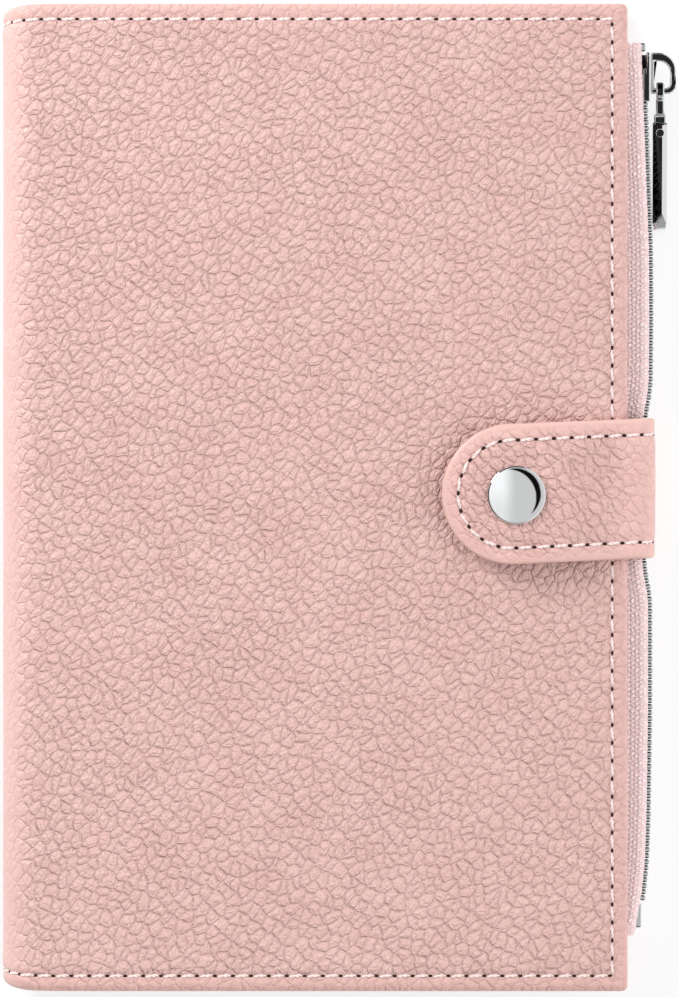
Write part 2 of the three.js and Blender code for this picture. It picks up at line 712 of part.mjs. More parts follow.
function snapStrap() {
  const route = strapRoute();
  const sections = route.map(([x, z, half], i) => {
    const before = route[Math.max(i - 1, 0)];
    const after = route[Math.min(i + 1, route.length - 1)];
    const along = new THREE.Vector2(after[0] - before[0], after[1] - before[1]).normalize();
    const up = new THREE.Vector2(-along.y, along.x);
    const foldX = z < COVER_THICK ? STRAP_OUTER_X : x;
    const [top, bottom] = strapEdges(foldX);
    const bevel = Math.min(STRAP_EDGE, half / 2, (top - bottom) / 3);
    const corners = [
      [top, half - bevel],
      [top - bevel, half],
      [bottom + bevel, half],
      [bottom, half - bevel],
      [bottom, bevel - half],
      [bottom + bevel, -half],
      [top - bevel, -half],
      [top, bevel - half],
    ];
    return corners.map(([y, out]) => new THREE.Vector3(x + up.x * out, y, z + up.y * out));
  });
  const hole = rod(SNAP_X, SNAP_Y, SNAP_STRAP_Z - PAST, SNAP_STRAP_Z + STRAP_THICK + PAST, SHANK_HOLE);
  return cut(loft(sections, flattenYZ), hole);
}

// The snap's polished cap with the shank that goes through the strap
function snapCap() {
  const base = SNAP_STRAP_Z + STRAP_THICK + SHEET_GAP;
  const profile = [
    [0, SNAP_STRAP_Z],
    [SHANK_RADIUS, SNAP_STRAP_Z],
    [SHANK_RADIUS, base],
    [CAP_RADIUS - CAP_LIP, base],
    [CAP_RADIUS, base + CAP_LIP_RISE],
  ];
  for (let i = 0; i < CAP_STEPS; i += 1) {
    const angle = (Math.PI / 2) * (i / CAP_STEPS);
    profile.push([CAP_RADIUS * Math.cos(angle), base + CAP_RIM + CAP_CROWN * Math.sin(angle)]);
  }
  profile.push([0, base + CAP_RIM + CAP_CROWN]);
  return turned(profile);
}

// A cup under the strap that the stud springs into
function snapSocket() {
  const top = SNAP_STRAP_Z - SHEET_GAP;
  const roof = top - SOCKET_ROOF;
  return turned([
    [0, top],
    [SOCKET_RADIUS - SOCKET_EDGE, top],
    [SOCKET_RADIUS, top - SOCKET_EDGE],
    [SOCKET_RADIUS, SOCKET_Z0 + SOCKET_EDGE],
    [SOCKET_RADIUS - SOCKET_EDGE, SOCKET_Z0],
    [SOCKET_MOUTH, SOCKET_Z0],
    [SOCKET_MOUTH, roof],
    [0, roof],
  ]);
}

// The stud that stands on the front cover
function snapStud() {
  const base = COVER_THICK + SHEET_GAP;
  return turned(STUD_PROFILE.map(([radius, height]) => [radius, base + height]));
}

// The rivet under the cover's skin that holds the stud
function snapPost() {
  const plateTop = COVER_THICK - BOARD_DEPTH;
  return turned([
    [0, plateTop - POST_PLATE],
    [POST_RADIUS, plateTop - POST_PLATE],
    [POST_RADIUS, plateTop],
    [SHANK_RADIUS, plateTop],
    [SHANK_RADIUS, COVER_THICK],
    [0, COVER_THICK],
  ]);
}

function addCover() {
  addPart("outer_cover", coverShell(), LEATHER);
  addPart("back_stiffener", board(BOARD_DEPTH), BOARD);
  const postHole = new THREE.Path();
  postHole.absarc(SNAP_X, SNAP_Y, POST_HOLE, 0, 2 * Math.PI, true);
  addPart("front_stiffener", board(COVER_THICK - BOARD_DEPTH - BOARD_THICK, postHole), BOARD);
  addPart("inner_lining", liningShell(), LINING);
}

function addPockets() {
  addPart("zip_pocket", zipPocket(), LINING);
  SLOT_TOPS.forEach((top, i) => {
    const z0 = SLOT_Z0 + i * (SLOT_THICK + SHEET_GAP);
    const slot = sheet(SLOT_X0, SLOT_X1, POCKET_EDGE, top, z0, SLOT_THICK, SLOT_CORNER);
    addPart(`card_slot_${i + 1}`, slot, LEATHER);
  });
  const sleeve = sheet(SLOT_X0, SLEEVE_X1, POCKET_EDGE, SLEEVE_TOP, SLEEVE_Z0, SLEEVE_THICK, SLOT_CORNER);
  addPart("passport_sleeve", sleeve, LEATHER);
}

function addZip() {
  for (const [name, side] of [["front", 1], ["back", -1]]) {
    addPart(`zip_tape_${name}`, zipTape(side), TAPE);
    addPart(`zip_teeth_${name}`, teethRow(side), CHROME);
    addPart(`zip_top_stop_${name}`, topStop(side), CHROME);
  }
  addPart("zip_bottom_stop", bottomStop(), CHROME);
  addPart("zip_slider", zipSlider(), CHROME);
  addPart("slider_bridge", sliderBridge(), CHROME);
}

function addPuller() {
  const puller = new THREE.Group();
  puller.position.set(PIVOT_X, PIVOT_Y, ZIP_Z);
  puller.rotation.x = DROOP;
  wallet.add(puller);
  addPart("puller_link", pullerLink(), CHROME, puller);
  addPart("puller_tab", pullerTab(), CHROME, puller);
  addPart("puller_pin", pullerPin(), CHROME, puller);
}

function addStrap() {
  addPart("snap_strap", snapStrap(), LEATHER);
  addPart("snap_cap", snapCap(), CHROME);
  addPart("snap_socket", snapSocket(), CHROME);
  addPart("snap_stud", snapStud(), CHROME);
  addPart("snap_post", snapPost(), CHROME);
}

addCover();
addPockets();
addZip();
addPuller();
addStrap();

// The origin is the middle of the footprint, on the table
wallet.updateMatrixWorld(true);
const bounds = new THREE.Box3().setFromObject(wallet, true);
const centre = bounds.getCenter(new THREE.Vector3());
wallet.position.set(-centre.x, -centre.y, -bounds.min.z);
wallet.updateMatrixWorld(true);

export default wallet;
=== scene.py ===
"""The looks of a travel document wallet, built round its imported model.

The wallet lies on its back cover and the camera looks straight down on the front. Lengths are in
millimetres from the spine (X), the lower edge (Y) and the table (Z), and place() turns them to metres.
"""

import math

import bmesh
import bpy
import numpy as np
from mathutils import Matrix, Vector, noise


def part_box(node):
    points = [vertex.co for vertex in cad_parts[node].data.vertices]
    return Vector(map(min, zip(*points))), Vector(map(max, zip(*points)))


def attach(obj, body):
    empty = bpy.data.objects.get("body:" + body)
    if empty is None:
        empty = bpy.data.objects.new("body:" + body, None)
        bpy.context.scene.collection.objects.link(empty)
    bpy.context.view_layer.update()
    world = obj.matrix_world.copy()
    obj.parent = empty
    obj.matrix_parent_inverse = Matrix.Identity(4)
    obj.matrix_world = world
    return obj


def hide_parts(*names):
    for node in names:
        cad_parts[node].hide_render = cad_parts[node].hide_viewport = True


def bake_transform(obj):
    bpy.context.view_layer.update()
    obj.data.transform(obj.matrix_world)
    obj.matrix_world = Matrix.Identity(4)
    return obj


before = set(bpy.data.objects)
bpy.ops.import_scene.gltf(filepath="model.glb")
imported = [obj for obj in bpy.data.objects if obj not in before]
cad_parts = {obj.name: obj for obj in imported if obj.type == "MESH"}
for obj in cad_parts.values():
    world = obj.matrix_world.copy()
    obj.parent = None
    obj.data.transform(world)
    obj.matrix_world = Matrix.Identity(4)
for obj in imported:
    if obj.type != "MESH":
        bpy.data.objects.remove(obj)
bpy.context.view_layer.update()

MM = 0.001
COVER_LOW, COVER_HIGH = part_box("outer_cover")
ORIGIN = Vector((COVER_LOW.x, COVER_LOW.y, 0))

# The camera's picture, and how large a pixel is on the front cover
PICTURE = (679, 997)
PIXEL = 0.167
PICTURE_LEFT = -2 * PIXEL
PICTURE_TOP = 991.5 * PIXEL

# Cover
COVER_WIDTH = (COVER_HIGH.x - COVER_LOW.x) / MM
COVER_HEIGHT = (COVER_HIGH.y - COVER_LOW.y) / MM
COVER_THICK = COVER_HIGH.z / MM
SPINE_REACH = 5.0
SKIN = 1.0
HEM_THICK = 1.9
HEM_WIDTH = 8.0
SEAM_INSET = 2.6
COVER_CORNER = 1.0
SPINE_STEPS = 60
SPINE_DRAW = 1.0
SPINE_DRAW_WIDTH = 7.0
SPINE_DRAW_REACH = 14
COVER_GRID = 1.3

# Relief of the leather: how deep each form is, how wide, and how far it lies from the sheet's edge
COVER_GROOVE = 0.30
STRAP_GROOVE = 0.22
GROOVE_WIDTH = 0.42
HEM_SWELL = 0.10
HEM_SWELL_INSET = 4.3
HEM_SWELL_WIDTH = 1.1
HEM_SLOPE = 0.22
HEM_RISE = 0.05
COVER_WAVES = 0.06
STRAP_SWELL = 0.12
STRAP_WAVES = 0.07
SNAP_DIMPLE = 0.22

# Each level of the pebble grain: cell size, crease width, crease depth, slope of the cell's sides, shift
GRAIN_LEVELS = (
    (1.90, 0.14, 0.30, 0.90, (0, 0, 0)),
    (1.00, 0.14, 0.08, 0.35, (7.3, 2.9, 0)),
    (0.50, 0.20, 0.02, 0.10, (3.1, 8.7, 0)),
)

# Seams: how far apart the stitches are, how fine a seam's line is and how deep its thread lies
STITCH_PITCH = 3.0
SEAM_STEP = 0.1
COVER_SEAM_DEPTH = 0.22
STRAP_SEAM_DEPTH = 0.16
STITCH_LENGTH = 2.35
STITCH_SLANT = 0.10
STRAND_RADIUS = 0.17
STRAND_OFFSET = 0.13
NEEDLE_HOLE = (0.40, 0.30, 0.14)

# Strap
STRAP_THICK = 1.2
STRAP_OUTER_X = 109.05
STRAP_ROOT = (104.4, 1.5)
STRAP_LOW_BEND = 1.9
STRAP_TOP_BEND = 2.15
STRAP_TIP_X = 73.4
STRAP_TIP_RADIUS = 11.75
STRAP_TOP = (94.8, 95.8)
STRAP_BOTTOM = (71.3, 72.4)
STRAP_RISE_X = 105.0
STRAP_LEVEL_X = 92.0
STRAP_UNDER_Z = 18.4
STRAP_SEAM = 2.75
STRAP_BLEND_Z = (1.5, 5.0)
STRAP_DROOP = 0.6
STRAP_DROOP_REACH = 6.75
STRAP_GRID = 0.55
SHEET_GAP = 0.15

# The part of a leather sheet's grid that lies closer together at its rims
RIM_LINES = [0, 0.12, 0.3, 0.6, 1.0, 1.5, 2.0, 2.35, 2.6, 2.85, 3.2, 3.8, 4.6]
RIM = 5.2

# Zip: where the middle of the chain lies, as [height, X]
ZIP_Z = 6.5
CHAIN_ROUTE = [
    [8, 105.5],
    [11, 105.8],
    [15.5, 106.7],
    [22, 107.35],
    [30, 107.6],
    [48, 107.85],
    [66, 107.85],
    [70, 106.95],
    [76, 106.8],
    [92, 106.8],
    [96.5, 107.1],
    [101, 107.95],
    [112, 108.05],
    [124, 108.0],
    [140, 107.4],
    [153, 106.9],
    [160, 106.7],
]
CHAIN_REACH = 1.5
TAPE_THICK = 0.5
TAPE_ROOT_X = 95.0
TAPE_FLAT = 10.5
TAPE_GRID = 0.22
TAPE_ENDS = (9.1, 158.7)
TAPE_OFFSET = 3.5
TAPE_BEND = 1.2
TAPE_LIP = 1.5
TOOTH_PITCH = 2.0
TEETH_ENDS = (15.0, 151.5)
FIRST_TOOTH = 0.425
TOOTH_SIZE = (0.86, 2.3, 1.9)
TOOTH_SHIFT = (0, 0.5, 0.08)
TOOTH_ROUND = 0.3

# Snap
SNAP_CENTRE = (85.9, 82.9)
CAP_RADIUS = 4.93
CAP_RIM = 0.45
CAP_CROWN = 0.75
CAP_ROLL = 0.42
SHANK_RADIUS = 1.0

# Camera, floor and key light. The floor lies just below the lowest point of the cover's skin
LENS = 400
SENSOR = 36
FLOOR_Z = -0.16
FLOOR_REACH = 3000
KEY_LIGHT = {"place": (-0.60, 0.52, 0.34), "size": 0.36, "energy": 6.6}


def place(x, y, z):
    """A point in millimetres from the spine, the lower edge and the table, in the frame's metres."""
    return ORIGIN + Vector((x, y, z)) * MM


def linear(hex_colour):
    """An sRGB hex colour as linear red, green, blue and alpha."""
    channels = [int(hex_colour[i : i + 2], 16) / 255 for i in (1, 3, 5)]
    return [c / 12.92 if c <= 0.04045 else ((c + 0.055) / 1.055) ** 2.4 for c in channels] + [1.0]


def smooth(value, low, high):
    """0 below low, 1 above high and smooth between."""
    share = min(max((value - low) / (high - low), 0.0), 1.0)
    return share * share * (3 - 2 * share)


def add(tree, kind, links=None, values=None, **settings):
    """One node with its settings, its sockets' values and the links into it."""
    node = tree.nodes.new(kind)
    for name, setting in settings.items():
        setattr(node, name, setting)
    for socket, value in (values or {}).items():
        node.inputs[socket].default_value = value
    for socket, source in (links or {}).items():
        tree.links.new(source, node.inputs[socket])
    return node


def new_material(name):
    """An empty material and its node tree."""
    material = bpy.data.materials.new(name)
    material.use_nodes = True
    material.node_tree.nodes.clear()
    return material, material.node_tree


def surface(tree, colour, height, bump_mm, roughness, colour_link=None, rough_link=None, **sockets):
    """The shader at a material's end: colour, relief and gloss, joined to the output."""
    values = {"Base Color": linear(colour), "Roughness": roughness}
    values.update({name.replace("_", " "): value for name, value in sockets.items()})
    links = {}
    if colour_link is not None:
        links["Base Color"] = colour_link
    if rough_link is not None:
        links["Roughness"] = rough_link
    bump = add(tree, "ShaderNodeBump", {"Height": height}, {"Strength": 1.0, "Distance": bump_mm * MM})
    links["Normal"] = bump.outputs["Normal"]
    shader = add(tree, "ShaderNodeBsdfPrincipled", links, values)
    add(tree, "ShaderNodeOutputMaterial", {"Surface": shader.outputs["BSDF"]})


def pebble_cells(tree, flat):
    """The pebble grain's height, and how far each point is from the creases of the largest cells.

    The cells slope from their middle to thin creases, and are drawn out along a slant.
    """
    pull = add(tree, "ShaderNodeTexNoise", {"Vector": flat}, {"Scale": 0.35, "Detail": 2.5, "Roughness": 0.5})
    half = (0.5, 0.5, 0.5)
    centred = add(tree, "ShaderNodeVectorMath", {0: pull.outputs["Color"]}, {1: half}, operation="SUBTRACT")
    shift = add(tree, "ShaderNodeVectorMath", {0: centred.outputs[0]}, {"Scale": 1.5}, operation="SCALE")
    bent = add(tree, "ShaderNodeVectorMath", {0: flat, 1: shift.outputs[0]}, operation="ADD").outputs[0]
    turned = add(tree, "ShaderNodeVectorRotate", {"Vector": bent}, {"Angle": 0.95}, rotation_type="Z_AXIS")
    links = {0: turned.outputs[0]}
    drawn = add(tree, "ShaderNodeVectorMath", links, {1: (0.84, 1.18, 1.0)}, operation="MULTIPLY").outputs[0]
    total = None
    for size_mm, width, weight, slope, offset in GRAIN_LEVELS:
        moved = add(tree, "ShaderNodeVectorMath", {0: drawn}, {1: offset}, operation="ADD").outputs[0]
        cells = add(
            tree,
            "ShaderNodeTexVoronoi",
            {"Vector": moved},
            {"Scale": 1 / size_mm, "Randomness": 0.85},
            feature="DISTANCE_TO_EDGE",
            voronoi_dimensions="2D",
        )
        reach = cells.outputs["Distance"]
        rim = add(
            tree,
            "ShaderNodeMapRange",
            {"Value": reach},
            {"From Min": 0.0, "From Max": width, "To Min": 0.0, "To Max": weight},
            interpolation_type="SMOOTHSTEP",
        ).outputs["Result"]
        level = add(tree, "ShaderNodeMath", {0: reach, 2: rim}, {1: slope}, operation="MULTIPLY_ADD")
        if total is None:
            first = reach
            total = level.outputs[0]
        else:
            total = add(tree, "ShaderNodeMath", {0: total, 1: level.outputs[0]}, operation="ADD").outputs[0]
    pores = add(tree, "ShaderNodeTexNoise", {"Vector": flat}, {"Scale": 4.0, "Detail": 3.0})
    fine = add(tree, "ShaderNodeMath", {0: pores.outputs["Fac"]}, {1: 0.12}, operation="MULTIPLY")
    total = add(tree, "ShaderNodeMath", {0: total, 1: fine.outputs[0]}, operation="ADD").outputs[0]
    return total, first


def faded(tree, depth, measure, ends, shares, blend):
    """The grain's depth times a share that goes from one value to another between two ends."""
    low, high = ends
    share = add(
        tree,
        "ShaderNodeMapRange",
        {"Value": measure},
        {"From Min": low, "From Max": high, "To Min": shares[0], "To Max": shares[1]},
        interpolation_type=blend,
    ).outputs["Result"]
    product = add(tree, "ShaderNodeMath", {0: depth, 1: share}, operation="MULTIPLY").outputs[0]
    return product, share


def grain_colour(tree, coords, reach, depth, tones, crease_shade):
    """Two tones that drift into each other, darkened in the creases with painted shade."""
    # Painted shade: up to 0.15 of the crease colour where the largest cells meet, times the grain's depth
    crease_shade_mask = add(
        tree,
        "ShaderNodeMapRange",
        {"Value": reach},
        {"From Min": 0.0, "From Max": 0.06, "To Min": 0.15, "To Max": 0.0},
    ).outputs["Result"]
    crease_shade_mask = add(tree, "ShaderNodeMath", {0: crease_shade_mask, 1: depth}, operation="MULTIPLY").outputs[0]
    drift = add(tree, "ShaderNodeTexNoise", {"Vector": coords}, {"Scale": 160.0, "Detail": 4.0})
    spread = add(
        tree, "ShaderNodeMapRange", {"Value": drift.outputs["Fac"]}, {"From Min": 0.35, "From Max": 0.65}
    ).outputs["Result"]
    pair = {"A": linear(tones[0]), "B": linear(tones[1])}
    tinted = add(tree, "ShaderNodeMix", {"Factor": spread}, pair, data_type="RGBA").outputs["Result"]
    links = {"Factor": crease_shade_mask, "A": tinted}
    return add(tree, "ShaderNodeMix", links, {"B": linear(crease_shade)}, data_type="RGBA").outputs["Result"]


def pebbled_leather(name, tones, crease_shade, hem_shade_tone=None, edge_paint=None):
    """Coated leather pressed with a pebble grain: cells 0.5 to 1.9 mm wide with a semi-matt coating.

    The hem tone is for the cover, whose grain is flat at the spine and in the hem; it is painted shade that
    darkens the hem.
    edge_paint is for the strap, whose cut edge is sealed with paint and whose grain is flat beside it and
    where it turns.
    """
    material, tree = new_material(name)
    flat = add(tree, "ShaderNodeUVMap", uv_map="cloth").outputs["UV"]
    coords = add(tree, "ShaderNodeTexCoord").outputs["Object"]
    across = add(tree, "ShaderNodeSeparateXYZ", {0: coords}).outputs["X"]
    edge = add(tree, "ShaderNodeAttribute", attribute_name="edge_mm").outputs["Fac"]
    cells, reach = pebble_cells(tree, flat)
    # The grain's depth varies from place to place
    patches = add(tree, "ShaderNodeTexNoise", {"Vector": coords}, {"Scale": 70.0, "Detail": 1.0})
    depth = add(
        tree,
        "ShaderNodeMapRange",
        {"Value": patches.outputs["Fac"]},
        {"From Min": 0.3, "From Max": 0.7, "To Min": 0.94, "To Max": 1.1},
    ).outputs["Result"]
    if hem_shade_tone:
        spine = (ORIGIN.x + 0.8 * MM, ORIGIN.x + 7 * MM)
        depth, _ = faded(tree, depth, across, spine, (0.2, 1.0), "SMOOTHSTEP")
    colour = grain_colour(tree, coords, reach, depth, tones, crease_shade)
    if hem_shade_tone:
        depth, hem = faded(tree, depth, edge, (1.6, 3.2), (0.45, 1.0), "SMOOTHSTEP")
        # Painted shade: the colour darkens toward the hem tone within 3.2 mm of the sheet's edge, most within
        # 1.6 mm
        shade = add(tree, "ShaderNodeMath", {1: hem}, {0: 1.0}, operation="SUBTRACT").outputs[0]
        links = {"Factor": shade, "A": colour}
        values = {"B": linear(hem_shade_tone)}
        colour = add(tree, "ShaderNodeMix", links, values, data_type="RGBA").outputs["Result"]
    if edge_paint:
        painted = add(
            tree,
            "ShaderNodeMapRange",
            {"Value": edge},
            {"From Min": 0.55, "From Max": 0.85, "To Min": 1.0, "To Max": 0.0},
        ).outputs["Result"]
        links = {"Factor": painted, "A": colour}
        values = {"B": linear(edge_paint)}
        colour = add(tree, "ShaderNodeMix", links, values, data_type="RGBA").outputs["Result"]
        turn = (ORIGIN.x + 100 * MM, ORIGIN.x + 107 * MM)
        depth, _ = faded(tree, depth, edge, (0.6, 3.4), (0.08, 1.0), "LINEAR")
        depth, _ = faded(tree, depth, across, turn, (1.0, 0.35), "SMOOTHSTEP")
    height = add(tree, "ShaderNodeMath", {0: cells, 1: depth}, operation="MULTIPLY").outputs[0]
    rough = add(
        tree,
        "ShaderNodeMapRange",
        {"Value": height},
        {"From Min": 0.0, "From Max": 1.0, "To Min": 0.40, "To Max": 0.50},
    ).outputs["Result"]
    surface(tree, tones[0], height, 0.6, 0.5, colour, rough, Specular_IOR_Level=0.5)
    return material


def polished_nickel(name, colour="#dcdee0", roughness=0.07):
    """Zinc casting with bright nickel plate: a mirror with faint waves from the polishing wheel."""
    material, tree = new_material(name)
    coords = add(tree, "ShaderNodeTexCoord").outputs["Object"]
    waves = add(tree, "ShaderNodeTexNoise", {"Vector": coords}, {"Scale": 420.0, "Detail": 2.0})
    surface(tree, colour, waves.outputs["Fac"], 0.006, roughness, Metallic=1.0)
    return material


def zip_nickel(name):
    """Nickel plate on the teeth, bright on their faces; the ends that face each other are painted dark, the
    shade in the gaps between the teeth.
    """
    material, tree = new_material(name)
    coords = add(tree, "ShaderNodeTexCoord").outputs
    waves = add(tree, "ShaderNodeTexNoise", {"Vector": coords["Object"]}, {"Scale": 900.0, "Detail": 2.0})
    along = add(tree, "ShaderNodeSeparateXYZ", {0: coords["Normal"]}).outputs["Y"]
    turned = add(tree, "ShaderNodeMath", {0: along}, operation="ABSOLUTE").outputs[0]
    gap_shade = add(
        tree,
        "ShaderNodeMapRange",
        {"Value": turned},
        {"From Min": 0.25, "From Max": 0.7, "To Min": 0.0, "To Max": 1.0},
        interpolation_type="SMOOTHSTEP",
    ).outputs["Result"]
    # Painted shade: the ends that face along the chain are nearly black, for the shade between the teeth
    tones = {"A": linear("#c9cbcd"), "B": linear("#1d1e20")}
    colour = add(tree, "ShaderNodeMix", {"Factor": gap_shade}, tones, data_type="RGBA").outputs["Result"]
    surface(tree, "#c9cbcd", waves.outputs["Fac"], 0.006, 0.16, colour, Metallic=1.0)
    return material


def black_nickel_worn_and_highlit(name):
    """Black nickel plate on the broad faces of a casting, polished through to bright metal at its edges.
    Faces that face right or down the wallet are bright metal too: a painted highlight.
    """
    material, tree = new_material(name)
    coords = add(tree, "ShaderNodeTexCoord").outputs["Object"]
    waves = add(tree, "ShaderNodeTexNoise", {"Vector": coords}, {"Scale": 420.0, "Detail": 2.0})
    worn_and_highlit = add(tree, "ShaderNodeAttribute", attribute_name="polish_and_highlight").outputs["Fac"]
    tones = {"A": linear("#2e2f31"), "B": linear("#e4e5e6")}
    colour = add(tree, "ShaderNodeMix", {"Factor": worn_and_highlit}, tones, data_type="RGBA").outputs["Result"]
    surface(tree, "#2e2f31", waves.outputs["Fac"], 0.006, 0.1, colour, Metallic=1.0)
    return material


def knitted_tape(name):
    """Polyester zip tape: small knitted loops, each column half a loop ahead of the last."""
    material, tree = new_material(name)
    uv = add(tree, "ShaderNodeUVMap", uv_map="cloth").outputs["UV"]
    split = add(tree, "ShaderNodeSeparateXYZ", {0: uv})
    across = split.outputs["X"]
    along = split.outputs["Y"]
    # Columns 0.62 mm wide of loops 0.8 mm long, pulled slightly out of line
    pull = add(tree, "ShaderNodeTexNoise", {"Vector": uv}, {"Scale": 0.9, "Detail": 1.0}).outputs["Fac"]
    across = add(tree, "ShaderNodeMath", {0: pull, 2: across}, {1: 0.5}, operation="MULTIPLY_ADD").outputs[0]
    along = add(tree, "ShaderNodeMath", {0: pull, 2: along}, {1: 0.9}, operation="MULTIPLY_ADD").outputs[0]
    column = add(tree, "ShaderNodeMath", {0: across}, {1: 0.62}, operation="DIVIDE").outputs[0]
    inside = add(tree, "ShaderNodeMath", {0: column}, operation="FRACT").outputs[0]
    whole = add(tree, "ShaderNodeMath", {0: column}, operation="FLOOR").outputs[0]
    slant = add(tree, "ShaderNodeMath", {0: inside, 2: whole}, {1: 0.35}, operation="MULTIPLY_ADD").outputs[0]
    slant = add(tree, "ShaderNodeMath", {0: slant}, {1: 0.5}, operation="MULTIPLY").outputs[0]
    step = add(tree, "ShaderNodeMath", {0: along}, {1: 0.8}, operation="DIVIDE").outputs[0]
    phase = add(tree, "ShaderNodeMath", {0: step, 1: slant}, operation="ADD").outputs[0]
    turn = add(tree, "ShaderNodeMath", {0: phase}, {1: 2 * math.pi}, operation="MULTIPLY").outputs[0]
    wave = add(tree, "ShaderNodeMath", {0: turn}, operation="SINE").outputs[0]
    thread = add(
        tree,
        "ShaderNodeMapRange",
        {"Value": wave},
        {"From Min": -0.6, "From Max": 0.9, "To Min": 0.0, "To Max": 1.0},
    ).outputs["Result"]
    belly_turn = add(tree, "ShaderNodeMath", {0: inside}, {1: math.pi}, operation="MULTIPLY").outputs[0]
    belly = add(tree, "ShaderNodeMath", {0: belly_turn}, operation="SINE").outputs[0]
    rib = add(tree, "ShaderNodeMath", {0: thread, 1: belly}, operation="MULTIPLY").outputs[0]
    fuzz = add(tree, "ShaderNodeTexNoise", {"Vector": uv}, {"Scale": 6.0, "Detail": 3.0}).outputs["Fac"]
    soft = add(tree, "ShaderNodeMath", {0: fuzz}, {1: 0.3}, operation="MULTIPLY").outputs[0]
    height = add(tree, "ShaderNodeMath", {0: rib, 1: soft}, operation="ADD").outputs[0]
    # Painted light and shade: the raised loops are paler and the gaps between them darker, and both tones are
    # paler than the tape's own colour to make up for the shade the cover casts on it
    tones = {"A": linear("#f0cfcf"), "B": linear("#fff4f3")}
    colour = add(tree, "ShaderNodeMix", {"Factor": rib}, tones, data_type="RGBA").outputs["Result"]
    surface(tree, "#e2bfbd", height, 0.22, 0.75, colour, Sheen_Weight=0.25, Sheen_Roughness=0.4)
    return material


def plain_weave(name, colour, shade):
    """Woven polyester lining: fine over-and-under threads with a dull sheen."""
    material, tree = new_material(name)
    coords = add(tree, "ShaderNodeTexCoord").outputs["Object"]
    pitch_mm = 0.5
    bands = []
    for direction in ("X", "Y"):
        wave = add(
            tree,
            "ShaderNodeTexWave",
            {"Vector": coords},
            {"Scale": math.pi / (10 * pitch_mm * MM), "Distortion": 0.6},
            bands_direction=direction,
        )
        bands.append(wave.outputs["Fac"])
    height = add(tree, "ShaderNodeMath", {0: bands[0], 1: bands[1]}, operation="MULTIPLY").outputs[0]
    # Painted shade: the colour darkens to the shade tone where the threads dip
    tones = {"A": linear(shade), "B": linear(colour)}
    mixed = add(tree, "ShaderNodeMix", {"Factor": height}, tones, data_type="RGBA").outputs["Result"]
    surface(tree, colour, height, 0.1, 0.7, mixed, Sheen_Weight=0.2)
    return material


def smooth_leather(name, colour, shade):
    """Thin split leather with a fine pressed grain, as used for the inside pockets."""
    material, tree = new_material(name)
    coords = add(tree, "ShaderNodeTexCoord").outputs["Object"]
    size = {"Scale": 1 / (0.9 * MM)}
    voronoi = add(tree, "ShaderNodeTexVoronoi", {"Vector": coords}, size, feature="DISTANCE_TO_EDGE")
    cells = voronoi.outputs["Distance"]
    # Painted shade: the colour darkens to the shade tone in the creases between the cells
    tones = {"A": linear(shade), "B": linear(colour)}
    mixed = add(tree, "ShaderNodeMix", {"Factor": cells}, tones, data_type="RGBA").outputs["Result"]
    surface(tree, colour, cells, 0.12, 0.55, mixed)
    return material


def grey_board(name):
    """Pressed bookbinding board: felted grey-brown fibres and a dull face."""
    material, tree = new_material(name)
    coords = add(tree, "ShaderNodeTexCoord").outputs["Object"]
    noisy = add(tree, "ShaderNodeTexNoise", {"Vector": coords}, {"Scale": 900.0, "Detail": 5.0})
    fibres = noisy.outputs["Fac"]
    tones = {"A": linear("#9b8d76"), "B": linear("#c6b99f")}
    mixed = add(tree, "ShaderNodeMix", {"Factor": fibres}, tones, data_type="RGBA").outputs["Result"]
    surface(tree, "#b9a98f", fibres, 0.08, 0.9, mixed)
    return material


def sewing_thread(name):
    """Twisted polyester thread, a shade paler than the leather, with a soft sheen on each strand."""
    material, tree = new_material(name)
    coords = add(tree, "ShaderNodeTexCoord").outputs["Object"]
    noisy = add(tree, "ShaderNodeTexNoise", {"Vector": coords}, {"Scale": 4000.0, "Detail": 2.0})
    strands = noisy.outputs["Fac"]
    tones = {"A": linear("#ecd3cf"), "B": linear("#fbeeeb")}
    mixed = add(tree, "ShaderNodeMix", {"Factor": strands}, tones, data_type="RGBA").outputs["Result"]
    surface(tree, "#f5e3e0", strands, 0.03, 0.6, mixed, Sheen_Weight=0.3)
    return material


def needle_hole(name):
    """The dark inside of a needle's hole: bare leather fibre in deep shade."""
    material, tree = new_material(name)
    coords = add(tree, "ShaderNodeTexCoord").outputs["Object"]
    fibre = add(tree, "ShaderNodeTexNoise", {"Vector": coords}, {"Scale": 3000.0}).outputs["Fac"]
    surface(tree, "#2f1717", fibre, 0.03, 0.95)
    return material


def floor_finish(name):
    """White studio table: it shows white to the camera and to metal, and keeps the wallet's shadow."""
    material, tree = new_material(name)
    grain = add(tree, "ShaderNodeTexNoise", None, {"Scale": 3.0}).outputs["Fac"]
    tones = {"A": linear("#fbfbfb"), "B": linear("#ffffff")}
    tone = add(tree, "ShaderNodeMix", {"Factor": grain}, tones, data_type="RGBA").outputs["Result"]
    lit = add(tree, "ShaderNodeBsdfDiffuse", {"Color": tone})
    rays = add(tree, "ShaderNodeLightPath").outputs
    links = {0: rays["Is Camera Ray"], 1: rays["Is Glossy Ray"]}
    seen = add(tree, "ShaderNodeMath", links, operation="MAXIMUM").outputs[0]
    share = add(tree, "ShaderNodeMath", {0: seen}, {1: 0.7}, operation="MULTIPLY").outputs[0]
    white = add(tree, "ShaderNodeEmission", None, {"Strength": 1.0})
    both = add(tree, "ShaderNodeMixShader", {0: share, 1: lit.outputs[0], 2: white.outputs[0]})
    add(tree, "ShaderNodeOutputMaterial", {"Surface": both.outputs[0]})
    return material


